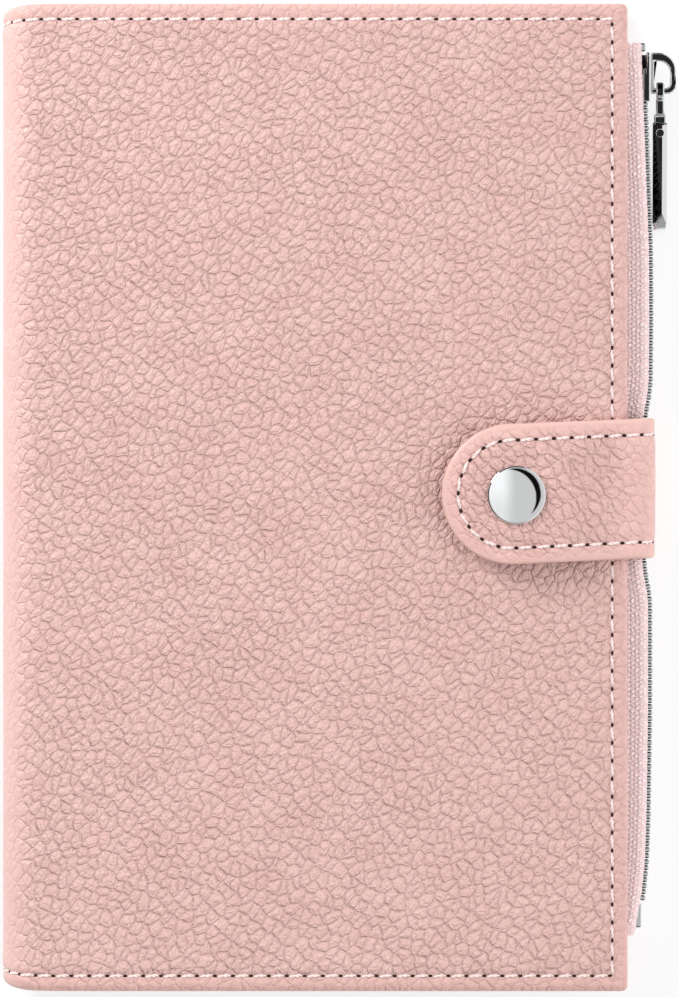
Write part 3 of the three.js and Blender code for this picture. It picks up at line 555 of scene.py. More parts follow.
def mesh_object(name, vertices, faces, uvs=None, edges_mm=None):
    """An object from points in millimetres, with an optional UV and distance from the edge per point."""
    mesh = bpy.data.meshes.new(name)
    mesh.from_pydata([place(*v) for v in vertices], [], faces)
    if uvs is not None:
        layer = mesh.uv_layers.new(name="cloth")
        corners = np.zeros(len(mesh.loops), dtype=np.int32)
        mesh.loops.foreach_get("vertex_index", corners)
        layer.data.foreach_set("uv", np.array(uvs, dtype=np.float32)[corners].ravel())
    if edges_mm is not None:
        attribute = mesh.attributes.new("edge_mm", "FLOAT", "POINT")
        attribute.data.foreach_set("value", np.array(edges_mm, dtype=np.float32))
    mesh.validate()
    obj = bpy.data.objects.new(name, mesh)
    bpy.context.scene.collection.objects.link(obj)
    shade_smooth(obj)
    return obj


def shade_smooth(obj):
    """Smooth shading on every face."""
    obj.data.polygons.foreach_set("use_smooth", [True] * len(obj.data.polygons))
    obj.data.update()


def face_out(obj):
    """Turns the faces of one closed shell outwards."""
    work = bmesh.new()
    work.from_mesh(obj.data)
    bmesh.ops.remove_doubles(work, verts=work.verts, dist=1e-7)
    bmesh.ops.recalc_face_normals(work, faces=work.faces)
    if work.calc_volume(signed=True) < 0:
        bmesh.ops.reverse_faces(work, faces=work.faces)
    work.to_mesh(obj.data)
    work.free()


def grid_lines(length, spacing, rim=RIM):
    """Positions from 0 to length: close together over the rolled rims and evenly spaced between."""
    near = [n for n in RIM_LINES if n < rim]
    count = max(int((length - 2 * rim) / spacing), 1)
    middle = [rim + (length - 2 * rim) * i / count for i in range(count + 1)]
    return near + middle + [length - n for n in reversed(near)]


def round_corner(a, b, radius):
    """Moves a point that is a and b from a corner's two edges so that the corner is round."""
    if radius <= 0 or a >= radius or b >= radius:
        return a, b
    da = radius - a
    db = radius - b
    reach = math.hypot(da, db)
    if reach < 1e-9:
        return a, b
    share = max(da, db) / reach
    return radius - da * share, radius - db * share


def leather_sheet(name, lines, size, corners, half, put, inner_depth, relief):
    """A closed sheet with rolled edges over a grid of s and t.

    put(s, t, depth) gives the point at a depth below the outer face, inner_depth(edge) the depth of the
    inner face and relief(s, t, edge) how far the outer face sinks. corners are the radii at (0, 0),
    (0, end), (end, 0) and (end, end).
    """
    s_lines, t_lines = lines
    length, width = size
    outer = {}
    inner = {}
    points = []
    uvs = []
    edges = []
    for i, s_line in enumerate(s_lines):
        for j, t_line in enumerate(t_lines):
            s_far = s_line > length / 2
            t_far = t_line > width / 2
            a = length - s_line if s_far else s_line
            b = width - t_line if t_far else t_line
            edge = min(a, b)
            a, b = round_corner(a, b, corners[2 * int(s_far) + int(t_far)])
            s = length - a if s_far else a
            t = width - b if t_far else b
            roll = half * math.sqrt(max(1 - max(1 - edge / half, 0) ** 2, 0))
            outer[i, j] = len(points)
            points.append(put(s, t, half - roll + relief(s, t, edge)))
            uvs.append((s, t))
            edges.append(edge)
            if 0 < i < len(s_lines) - 1 and 0 < j < len(t_lines) - 1:
                inner[i, j] = len(points)
                points.append(put(s, t, min(half + roll, inner_depth(edge))))
                uvs.append((s, t))
                edges.append(edge)
            else:
                inner[i, j] = outer[i, j]
    faces = []
    for i in range(len(s_lines) - 1):
        for j in range(len(t_lines) - 1):
            ring = [(i, j), (i + 1, j), (i + 1, j + 1), (i, j + 1)]
            faces.append([outer[c] for c in ring])
            faces.append([inner[c] for c in reversed(ring)])
    obj = mesh_object(name, points, faces, uvs, edges)
    face_out(obj)
    return obj


def arc_table(points):
    """Arc length at each point of a polyline."""
    steps = np.linalg.norm(np.diff(points, axis=0), axis=1)
    return np.concatenate([[0], np.cumsum(steps)])


class Route:
    """A smooth line in the XZ plane: a point and its outward normal at each arc length."""

    def __init__(self, points):
        self.points = np.array(points, float)
        self.lengths = arc_table(self.points)
        self.total = float(self.lengths[-1])
        tangents = np.gradient(self.points, self.lengths, axis=0)
        tangents /= np.linalg.norm(tangents, axis=1)[:, None]
        self.normals = np.stack([tangents[:, 1], -tangents[:, 0]], axis=1)

    def at(self, s):
        """X, Z and the outward normal at arc length s."""
        x = np.interp(s, self.lengths, self.points[:, 0])
        z = np.interp(s, self.lengths, self.points[:, 1])
        nx = np.interp(s, self.lengths, self.normals[:, 0])
        nz = np.interp(s, self.lengths, self.normals[:, 1])
        size = math.hypot(nx, nz)
        return x, z, nx / size, nz / size


def cover_route():
    """The cover's outer face from the front's free edge, round the spine, to the back's free edge."""
    half_height = COVER_THICK / 2
    points = [(COVER_WIDTH - i, COVER_THICK) for i in range(int(COVER_WIDTH - SPINE_REACH))]
    for i in range(SPINE_STEPS + 1):
        angle = math.pi / 2 + math.pi * i / SPINE_STEPS
        x = SPINE_REACH + SPINE_REACH * math.cos(angle)
        z = half_height + half_height * math.sin(angle)
        points.append((x, z))
    points += [(COVER_WIDTH - i, 0.0) for i in reversed(range(int(COVER_WIDTH - SPINE_REACH)))]
    return points


def cover_point(route):
    """put() for the cover: its ends are drawn in a little where it turns round the spine."""
    middle = route.total / 2

    def put(s, t, depth):
        x, z, nx, nz = route.at(s)
        bend = math.exp(-(((s - middle) / SPINE_DRAW_WIDTH) ** 2))
        end = min(t, COVER_HEIGHT - t)
        draw = SPINE_DRAW * bend * (1 - smooth(end, 0, SPINE_DRAW_REACH))
        t_drawn = t + draw if t < COVER_HEIGHT / 2 else t - draw
        return (x - nx * depth, t_drawn, z - nz * depth)

    return put


def cover_relief(s, t, edge):
    """The seam's groove, the padded hem beside it and slow waves in the panels."""
    groove = COVER_GROOVE * math.exp(-(((edge - SEAM_INSET) / GROOVE_WIDTH) ** 2))
    swell = -HEM_SWELL * math.exp(-(((edge - HEM_SWELL_INSET) / HEM_SWELL_WIDTH) ** 2))
    hem = HEM_SLOPE * max(1 - edge / SEAM_INSET, 0) ** 2 - HEM_RISE
    waves = COVER_WAVES * noise.noise(Vector((s / 26, t / 31, 3.7)))
    return groove + swell + hem + abs(waves) * smooth(edge, 0, 6)


def cover_inner(edge):
    """The turned-in hem is thicker than the skin between the hems."""
    thinned = smooth(edge, HEM_WIDTH, HEM_WIDTH + 1)
    return HEM_THICK - (HEM_THICK - SKIN) * thinned


def make_cover(finish):
    """The folded cover, front, spine and back in one sheet."""
    route = Route(cover_route())
    put = cover_point(route)
    lines = (grid_lines(route.total, COVER_GRID), grid_lines(COVER_HEIGHT, COVER_GRID))
    size = (route.total, COVER_HEIGHT)
    corners = [COVER_CORNER] * 4
    cover = leather_sheet("cover_skin", lines, size, corners, HEM_THICK / 2, put, cover_inner, cover_relief)
    cover.data.materials.append(finish)
    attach(cover, "wallet")
    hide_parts("outer_cover")
    return route, put


def strap_route():
    """The strap's outer face from its tip, over the front and round the zip, to its root."""
    half = STRAP_THICK / 2
    wall = STRAP_OUTER_X - half
    over = COVER_THICK + SHEET_GAP + half
    level = STRAP_UNDER_Z + half
    centre = []
    x = STRAP_TIP_X
    while x < STRAP_RISE_X:
        rise = smooth(STRAP_RISE_X - x, 0, STRAP_RISE_X - STRAP_LEVEL_X)
        droop = STRAP_DROOP * smooth(STRAP_TIP_X + STRAP_DROOP_REACH - x, 0, STRAP_DROOP_REACH)
        centre.append((x, over + (level - over) * rise - droop))
        x += 0.5
    top = (wall - STRAP_TOP_BEND, over - STRAP_TOP_BEND)
    low = (wall - STRAP_LOW_BEND, STRAP_ROOT[1] + STRAP_LOW_BEND)
    steps = 14
    for i in range(steps + 1):
        angle = math.pi / 2 * (1 - i / steps)
        centre.append((top[0] + STRAP_TOP_BEND * math.cos(angle), top[1] + STRAP_TOP_BEND * math.sin(angle)))
    z = top[1] - 1
    while z > low[1]:
        centre.append((wall, z))
        z -= 1
    for i in range(steps + 1):
        angle = -math.pi / 2 * i / steps
        centre.append((low[0] + STRAP_LOW_BEND * math.cos(angle), low[1] + STRAP_LOW_BEND * math.sin(angle)))
    centre.append(STRAP_ROOT)
    middle = Route(centre)
    return [(p[0] - n[0] * half, p[1] - n[1] * half) for p, n in zip(middle.points, middle.normals)]


def strap_edges(x):
    """The strap's lower and upper edge at x."""
    tip_centre = STRAP_TIP_X + STRAP_TIP_RADIUS
    share = min(max((x - tip_centre) / (STRAP_OUTER_X - tip_centre), 0), 1)
    bottom = STRAP_BOTTOM[0] + (STRAP_BOTTOM[1] - STRAP_BOTTOM[0]) * share
    top = STRAP_TOP[0] + (STRAP_TOP[1] - STRAP_TOP[0]) * share
    return bottom, top


def strap_point(route, width):
    """put() for the strap: t runs across it from the lower to the upper edge."""

    def put(s, t, depth):
        x, z, nx, nz = route.at(s)
        bottom, top = strap_edges(x if z > COVER_THICK else STRAP_OUTER_X)
        y = bottom + (top - bottom) * t / width
        return (x + nx * depth, y, z + nz * depth)

    return put


def strap_relief(s, t, edge):
    """The seam's groove, the padding inside it and the dimple round the snap."""
    groove = STRAP_GROOVE * math.exp(-(((edge - STRAP_SEAM) / GROOVE_WIDTH) ** 2))
    swell = -STRAP_SWELL * smooth(edge, STRAP_SEAM, STRAP_SEAM + 2)
    away = math.hypot(s - (SNAP_CENTRE[0] - STRAP_TIP_X), t - STRAP_TIP_RADIUS)
    dimple = SNAP_DIMPLE * (1 - smooth(away, CAP_RADIUS - 0.5, CAP_RADIUS + 2.0))
    waves = STRAP_WAVES * noise.noise(Vector((s / 8, t / 7, 9.1)))
    return groove + swell + dimple + abs(waves) * smooth(edge, 0, 4)


def make_strap(finish):
    """The strap, from its tip over the front and round the zip to its root."""
    route = Route(strap_route())
    width = STRAP_TOP[0] - STRAP_BOTTOM[0]
    put = strap_point(route, width)
    lines = (grid_lines(route.total, STRAP_GRID), grid_lines(width, STRAP_GRID))
    corners = [STRAP_TIP_RADIUS - 0.01] * 2 + [0.3] * 2
    strap = leather_sheet(
        "strap_leather",
        lines,
        (route.total, width),
        corners,
        STRAP_THICK / 2,
        put,
        lambda edge: STRAP_THICK,
        strap_relief,
    )
    strap.data.materials.append(finish)
    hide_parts("snap_strap")
    bend_with_strap(strap)
    return route, put, width


def bend_with_strap(piece):
    """Bakes the piece's place into its mesh; the two points at the strap's root are worked out but not used.
    """
    x = STRAP_ROOT[0]
    y = sum(SNAP_CENTRE) / 2
    place(x, y, STRAP_BLEND_Z[0])
    place(x, y, STRAP_BLEND_Z[1])
    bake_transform(piece)


def instancer():
    """A node tree that sets a unit shape on each point, turned by the point's along and out vectors."""
    tree = bpy.data.node_groups.new("set_along_line", "GeometryNodeTree")
    for label, kind in (("Points", "Geometry"), ("Unit", "Object"), ("Finish", "Material")):
        tree.interface.new_socket(label, in_out="INPUT", socket_type=f"NodeSocket{kind}")
    tree.interface.new_socket("Result", in_out="OUTPUT", socket_type="NodeSocketGeometry")
    given = add(tree, "NodeGroupInput").outputs
    vectors = {}
    for label in ("out", "along"):
        vectors[label] = add(
            tree, "GeometryNodeInputNamedAttribute", None, {"Name": label}, data_type="FLOAT_VECTOR"
        ).outputs["Attribute"]
    upright = add(tree, "FunctionNodeAlignRotationToVector", {"Vector": vectors["out"]}, axis="Z")
    turned = add(
        tree,
        "FunctionNodeAlignRotationToVector",
        {"Rotation": upright.outputs[0], "Vector": vectors["along"]},
        axis="X",
        pivot_axis="Z",
    )
    unit = add(tree, "GeometryNodeObjectInfo", {"Object": given["Unit"]}, {"As Instance": True})
    links = {"Points": given["Points"], "Instance": unit.outputs["Geometry"], "Rotation": turned.outputs[0]}
    spread = add(tree, "GeometryNodeInstanceOnPoints", links)
    real = add(tree, "GeometryNodeRealizeInstances", {"Geometry": spread.outputs[0]})
    painted = add(tree, "GeometryNodeSetMaterial", {"Geometry": real.outputs[0], "Material": given["Finish"]})
    add(tree, "NodeGroupOutput", {"Result": painted.outputs[0]})
    return tree


def set_along(name, tree, spots, unit, finish):
    """A plain mesh of the unit shape at each spot, which is (point, along, out) in millimetres."""
    mesh = bpy.data.meshes.new(name)
    mesh.from_pydata([place(*spot[0]) for spot in spots], [], [])
    for column, label in ((1, "along"), (2, "out")):
        attribute = mesh.attributes.new(label, "FLOAT_VECTOR", "POINT")
        attribute.data.foreach_set("vector", np.array([spot[column] for spot in spots], np.float32).ravel())
    carrier = bpy.data.objects.new(name, mesh)
    bpy.context.scene.collection.objects.link(carrier)
    modifier = carrier.modifiers.new("set_along_line", "NODES")
    modifier.node_group = tree
    given = {"Unit": unit, "Finish": finish}
    for item in tree.interface.items_tree:
        if item.in_out == "INPUT" and item.name in given:
            modifier[item.identifier] = given[item.name]
    bpy.context.view_layer.update()
    evaluated = carrier.evaluated_get(bpy.context.evaluated_depsgraph_get())
    made = bpy.data.meshes.new_from_object(evaluated)
    carrier.modifiers.clear()
    carrier.data = made
    made.name = name
    if not made.materials:
        made.materials.append(finish)
    shade_smooth(carrier)
    return carrier


def unit_object(name, vertices, faces):
    """A small shape about the origin, in metres from millimetres, for the instancer."""
    mesh = bpy.data.meshes.new(name)
    mesh.from_pydata([Vector(v) * MM for v in vertices], [], faces)
    obj = bpy.data.objects.new(name, mesh)
    bpy.context.scene.collection.objects.link(obj)
    face_out(obj)
    shade_smooth(obj)
    return obj


def tube(path, radii, sides):
    """Points and faces of a closed round tube along a path, with round ends."""
    points = []
    faces = []
    for i, (centre, radius) in enumerate(zip(path, radii)):
        before = Vector(path[max(i - 1, 0)])
        after = Vector(path[min(i + 1, len(path) - 1)])
        along = (after - before).normalized()
        side = along.cross(Vector((0, 0, 1))).normalized()
        up = side.cross(along)
        for k in range(sides):
            angle = 2 * math.pi * k / sides
            points.append(Vector(centre) + (side * math.cos(angle) + up * math.sin(angle)) * radius)
    for i in range(len(path) - 1):
        for k in range(sides):
            a = i * sides + k
            b = i * sides + (k + 1) % sides
            faces.append([a, b, b + sides, a + sides])
    faces.append(list(reversed(range(sides))))
    faces.append([(len(path) - 1) * sides + k for k in range(sides)])
    return points, faces


def stitch_unit():
    """One stitch: two strands twisted round each other, dipping into a hole at each end."""
    steps = 9
    turns = 1.4
    points = []
    faces = []
    for strand in (0, math.pi):
        path = []
        radii = []
        for i in range(steps + 1):
            share = i / steps
            turn = 2 * math.pi * turns * share + strand
            bow = max(math.sin(math.pi * share), 0)
            lift = 0.34 * math.sqrt(bow) - 0.24
            x = STITCH_LENGTH * (share - 0.5)
            path.append((x, STRAND_OFFSET * math.cos(turn), lift + STRAND_OFFSET * math.sin(turn)))
            radii.append(STRAND_RADIUS * (0.55 + 0.45 * bow))
        strand_points, strand_faces = tube(path, radii, 6)
        start = len(points)
        points += strand_points
        faces += [[v + start for v in face] for face in strand_faces]
    return unit_object("stitch_unit", points, faces)


def hole_unit(sizes):
    """One needle hole: a small squashed ball that shows as a dark spot of painted shade at the bottom of the
    seam.
    """
    sides = 10
    rings = 6
    points = [(0, 0, -sizes[2])]
    faces = []
    for i in range(1, rings):
        lift = -math.pi / 2 + math.pi * i / rings
        flat = math.cos(lift)
        z = sizes[2] * math.sin(lift)
        for k in range(sides):
            angle = 2 * math.pi * k / sides
            points.append((sizes[0] * flat * math.cos(angle), sizes[1] * flat * math.sin(angle), z))
    points.append((0, 0, sizes[2]))
    last = len(points) - 1
    for k in range(sides):
        n = (k + 1) % sides
        faces.append([0, 1 + n, 1 + k])
        faces.append([last, last - sides + k, last - sides + n])
        for i in range(rings - 2):
            a = 1 + i * sides
            faces.append([a + k, a + n, a + sides + n, a + sides + k])
    return unit_object("hole_unit", points, faces)


def seam_line(length, width, inset, corner, closed_loop):
    """Points of a seam in s and t, one each SEAM_STEP: a loop inside the edges, or open at s = length."""
    corner_steps = 24
    far = length - inset if closed_loop else length
    radius = max(corner - inset, 0.6)
    legs = []
    if closed_loop:
        centres = [
            (far - radius, inset + radius, -90),
            (far - radius, width - inset - radius, 0),
            (inset + radius, width - inset - radius, 90),
            (inset + radius, inset + radius, 180),
        ]
    else:
        legs.append((far, width - inset))
        centres = [(inset + radius, width - inset - radius, 90), (inset + radius, inset + radius, 180)]
    for s, t, start in centres:
        for i in range(corner_steps + 1):
            angle = math.radians(start + 90 * i / corner_steps)
            legs.append((s + radius * math.cos(angle), t + radius * math.sin(angle)))
    legs.append(legs[0] if closed_loop else (far, inset))
    legs = np.array(legs)
    lengths = arc_table(legs)
    spots = np.arange(0, lengths[-1], SEAM_STEP)
    return np.stack([np.interp(spots, lengths, legs[:, k]) for k in (0, 1)], axis=1)


def seam_spots(line, put, depth, start, slant):
    """A stitch or hole each pitch along a seam, as (point, along, out)."""
    spots = []
    every = STITCH_PITCH / SEAM_STEP
    count = int((len(line) - 2 - start / SEAM_STEP) / every)
    for i in range(count):
        index = int(round(start / SEAM_STEP + i * every))
        s, t = line[index]
        s2, t2 = line[min(index + 3, len(line) - 1)]
        point = Vector(put(s, t, depth))
        ahead = Vector(put(s2, t2, depth))
        above = Vector(put(s, t, depth - 1))
        out = (above - point).normalized()
        along = (ahead - point).normalized()
        along = Matrix.Rotation(slant, 3, out) @ along
        spots.append((point, along, out))
    return spots


def make_seam(name, tree, units, finishes, line, put, depth, slot):
    """The stitches and the needle holes of one seam. Returns both pieces."""
    stitch, hole = units
    thread, dark = finishes
    rows = seam_spots(line, put, depth, STITCH_PITCH / 2, STITCH_SLANT)
    gaps = seam_spots(line, put, depth + 0.02, 0, 0)
    pieces = [
        set_along(f"{name}_stitches", tree, rows, stitch, thread),
        set_along(f"{name}_holes", tree, gaps, hole, dark),
    ]
    return pieces


def chain_x(y):
    """Where the middle of the chain lies at height y."""
    heights = [point[0] for point in CHAIN_ROUTE]
    places = [point[1] for point in CHAIN_ROUTE]
    shifts = (-CHAIN_REACH, 0, CHAIN_REACH)
    return float(np.mean([np.interp(y + shift, heights, places) for shift in shifts]))


def tape_section(side):
    """put() for one tape: s runs from its root to the chain and t up the zip."""
    half = TAPE_THICK / 2
    flat = TAPE_FLAT
    bend = TAPE_BEND * math.pi / 2
    lip = TAPE_OFFSET - TAPE_BEND - TAPE_LIP

    def put(s, t, depth):
        y = TAPE_ENDS[0] + t
        x = chain_x(y)
        bend_x = x - TAPE_BEND
        out = half - depth
        ripple = 0.05 * math.sin(2 * math.pi * y / TOOTH_PITCH) * smooth(s, flat, flat + bend)
        if s < flat:
            px = TAPE_ROOT_X + (bend_x - TAPE_ROOT_X) * s / flat
            pz = TAPE_OFFSET + out
        elif s < flat + bend:
            angle = math.pi / 2 * (1 - (s - flat) / bend)
            px = bend_x + (TAPE_BEND + out + ripple) * math.cos(angle)
            pz = TAPE_OFFSET - TAPE_BEND + (TAPE_BEND + out + ripple) * math.sin(angle)
        else:
            px = x + out + ripple
            pz = TAPE_OFFSET - TAPE_BEND - (s - flat - bend)
        return (px, y, ZIP_Z + side * pz)

    return put, flat + bend + lip


def make_tapes(finish):
    """Both tapes of the zip."""
    for label, side in (("front", 1), ("back", -1)):
        put, length = tape_section(side)
        width = TAPE_ENDS[1] - TAPE_ENDS[0]
        # Far apart on the pocket's wall, and close together round the bend to the chain
        s_lines = [0, 0.1, 0.25, 1, 3, 6, 9]
        s_lines += [10 + TAPE_GRID * i for i in range(int((length - 10.25) / TAPE_GRID))]
        s_lines += [length - 0.25, length - 0.1, length]
        t_lines = grid_lines(width, 0.7, 1.2)
        tape = leather_sheet(
            f"woven_tape_{label}",
            (s_lines, t_lines),
            (length, width),
            [0.2, 0.2, 1.6, 1.6],
            TAPE_THICK / 2,
            put,
            lambda edge: TAPE_THICK,
            lambda s, t, edge: 0,
        )
        tape.data.materials.append(finish)
        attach(tape, "wallet")
        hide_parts(f"zip_tape_{label}")


def tooth_unit():
    """One tooth: a rounded block whose head meshes with the other row."""
    work = bmesh.new()
    bmesh.ops.create_cube(work, size=1.0)
    bmesh.ops.scale(work, vec=Vector(TOOTH_SIZE), verts=work.verts)
    bmesh.ops.translate(work, vec=Vector(TOOTH_SHIFT), verts=work.verts)
    bmesh.ops.bevel(work, geom=work.edges[:], offset=TOOTH_ROUND, segments=3, profile=0.5, affect="EDGES")
    points = [tuple(v.co) for v in work.verts]
    faces = [[v.index for v in face.verts] for face in work.faces]
    work.free()
    return unit_object("tooth_unit", points, faces)


def make_teeth(tree, finish):
    """Both rows of teeth along the chain, one row half a pitch ahead of the other."""
    unit = tooth_unit()
    count = int((TEETH_ENDS[1] - TEETH_ENDS[0]) / TOOTH_PITCH)
    for label, side in (("front", 1), ("back", -1)):
        first = TEETH_ENDS[0] + FIRST_TOOTH + (0 if side > 0 else TOOTH_PITCH / 2)
        spots = []
        for i in range(count):
            y = first + i * TOOTH_PITCH
            lean = chain_x(y + 0.5) - chain_x(y - 0.5)
            along = Vector((lean, 1, 0)).normalized() * side
            out = Vector((1, -lean, 0)).normalized()
            spots.append(((chain_x(y), y, ZIP_Z), along, out))
        row = set_along(f"teeth_row_{label}", tree, spots, unit, finish)
        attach(row, "wallet")
        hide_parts(f"zip_teeth_{label}")
    bpy.data.objects.remove(unit)


def mark_polish_and_highlight(mesh):
    """Marks the faces of the second material slot, the polished rounded edges, and as a painted highlight the
    faces that face right or down the wallet.
    """
    marks = []
    for face in mesh.polygons:
        # Rounded edges are real polish; faces turned right or down are a painted highlight
        bright = face.material_index == 1 or face.normal.x > 0.45 or face.normal.y < -0.42
        marks += [float(bright)] * len(face.loop_indices)
    polish_and_highlight = mesh.attributes.new("polish_and_highlight", "FLOAT", "CORNER")
    polish_and_highlight.data.foreach_set("value", marks)


def softened(node, width_mm, finish, body, sharp=30, clamp=True):
    """A copy of a CAD node with its edges rounded, which takes the node's place.

    Edges sharper than sharp degrees are rounded. clamp keeps neighbouring roundings apart.
    """
    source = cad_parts[node]
    mesh = source.data.copy()
    mesh.name = f"{node}_shape"
    work = bmesh.new()
    work.from_mesh(mesh)
    bmesh.ops.remove_doubles(work, verts=work.verts, dist=1e-6)
    bmesh.ops.dissolve_limit(work, angle_limit=math.radians(1.0), verts=work.verts, edges=work.edges)
    work.to_mesh(mesh)
    work.free()
    obj = bpy.data.objects.new(f"{node}_shape", mesh)
    bpy.context.scene.collection.objects.link(obj)
    bevel = obj.modifiers.new("round_edges", "BEVEL")
    bevel.width = width_mm * MM
    bevel.segments = 3
    bevel.limit_method = "ANGLE"
    bevel.angle_limit = math.radians(sharp)
    bevel.use_clamp_overlap = clamp
    # The second slot only marks the rounded edges' faces
    bevel.material = 1
    mesh.materials.clear()
    mesh.materials.append(finish)
    mesh.materials.append(finish)
    bpy.context.view_layer.update()
    evaluated = obj.evaluated_get(bpy.context.evaluated_depsgraph_get())
    rounded = bpy.data.meshes.new_from_object(evaluated)
    obj.modifiers.clear()
    obj.data = rounded
    mark_polish_and_highlight(rounded)
    rounded.polygons.foreach_set("material_index", [0] * len(rounded.polygons))
    rounded.materials.clear()
    rounded.materials.append(finish)
    shade_smooth(obj)
    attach(obj, body)
    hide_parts(node)


def lathe(name, profile):
    """A closed turned shape about the snap's axis; profile points are (radius, z) in millimetres."""
    steps = 96
    points = []
    faces = []
    rings = []
    for radius, z in profile:
        if radius < 1e-6:
            rings.append([len(points)])
            points.append((*SNAP_CENTRE, z))
            continue
        ring = []
        for k in range(steps):
            angle = 2 * math.pi * k / steps
            x = SNAP_CENTRE[0] + radius * math.cos(angle)
            y = SNAP_CENTRE[1] + radius * math.sin(angle)
            ring.append(len(points))
            points.append((x, y, z))
        rings.append(ring)
    for low, high in zip(rings, rings[1:]):
        for k in range(steps):
            n = (k + 1) % steps
            if len(low) == 1:
                faces.append([low[0], high[k], high[n]])
            elif len(high) == 1:
                faces.append([low[k], low[n], high[0]])
            else:
                faces.append([low[k], low[n], high[n], high[k]])
    obj = mesh_object(name, points, faces)
    face_out(obj)
    return obj


def make_cap(finish):
    """The snap's shallow domed cap, rolled over at its rim."""
    base = STRAP_UNDER_Z + STRAP_THICK + SHEET_GAP
    under = base - 0.1
    middle = base + CAP_RIM - CAP_ROLL
    inner = CAP_RADIUS - CAP_ROLL
    roll_steps = 12
    dome_steps = 40
    profile = [(0, STRAP_UNDER_Z), (SHANK_RADIUS, STRAP_UNDER_Z), (SHANK_RADIUS, under), (inner, under)]
    ball = (CAP_RADIUS**2 + CAP_CROWN**2) / (2 * CAP_CROWN)
    lean = math.asin(inner / ball)
    for i in range(roll_steps + 1):
        angle = (math.pi / 2 - lean) * i / roll_steps
        profile.append((inner + CAP_ROLL * math.cos(angle), middle + CAP_ROLL * math.sin(angle)))
    edge_radius, edge_z = profile[-1]
    drop = math.sqrt(ball**2 - edge_radius**2)
    for i in range(1, dome_steps + 1):
        radius = edge_radius * (1 - i / dome_steps)
        profile.append((radius, edge_z + math.sqrt(ball**2 - radius**2) - drop))
    cap = lathe("snap_dome", profile)
    cap.data.materials.append(finish)
    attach(cap, "strap")
    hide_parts("snap_cap")


def make_floor(finish):
    """The table under the wallet."""
    x = COVER_WIDTH / 2
    y = COVER_HEIGHT / 2
    corners = [(-1, -1), (1, -1), (1, 1), (-1, 1)]
    points = [(x + i * FLOOR_REACH, y + j * FLOOR_REACH, FLOOR_Z) for i, j in corners]
    floor = mesh_object("table_top", points, [[0, 1, 2, 3]])
    floor.data.materials.append(finish)


def make_camera():
    """A long lens straight above the front cover, framed as in the photograph."""
    camera = bpy.data.cameras.new("camera")
    camera.lens = LENS
    camera.sensor_width = SENSOR
    height = PICTURE[1] * PIXEL
    distance = height * camera.lens / camera.sensor_width
    camera.clip_start = 0.05
    camera.clip_end = 20
    obj = bpy.data.objects.new("camera", camera)
    bpy.context.scene.collection.objects.link(obj)
    x = PICTURE_LEFT + PICTURE[0] * PIXEL / 2
    y = PICTURE_TOP - PICTURE[1] * PIXEL / 2
    obj.location = place(x, y, COVER_THICK + distance)
    bpy.context.scene.camera = obj


def make_key_light():
    """One soft key from the upper left: its low angle brings out the grain."""
    light = bpy.data.lights.new("key_light", "AREA")
    light.size = KEY_LIGHT["size"]
    light.energy = KEY_LIGHT["energy"]
    obj = bpy.data.objects.new("key_light", light)
    bpy.context.scene.collection.objects.link(obj)
    obj.location = KEY_LIGHT["place"]
    obj.rotation_euler = (-Vector(KEY_LIGHT["place"])).to_track_quat("-Z", "Y").to_euler()


def lobe(tree, direction, towards, power, strength):
    """A soft glow round one direction of the sky."""
    centre = {1: Vector(towards).normalized()}
    facing = add(tree, "ShaderNodeVectorMath", {0: direction}, centre, operation="DOT_PRODUCT").outputs
    ahead = add(tree, "ShaderNodeMath", {0: facing["Value"]}, {1: 0.0}, operation="MAXIMUM").outputs[0]
    shaped = add(tree, "ShaderNodeMath", {0: ahead}, {1: power}, operation="POWER").outputs[0]
    return add(tree, "ShaderNodeMath", {0: shaped}, {1: strength}, operation="MULTIPLY").outputs[0]


def studio_light(tree, direction):
    """What lights the wallet: an even room, a large softbox overhead and a weaker one on the right."""
    total = lobe(tree, direction, (0.2, -0.05, 1.0), 6.0, 0.78)
    for towards, power, strength in (((0.9, -0.1, 0.5), 3.0, 2.0), ((-0.5, 0.5, 0.6), 2.0, 0.25)):
        more = lobe(tree, direction, towards, power, strength)
        total = add(tree, "ShaderNodeMath", {0: total, 1: more}, operation="ADD").outputs[0]
    return add(tree, "ShaderNodeMath", {0: total}, {1: 0.22}, operation="ADD").outputs[0]


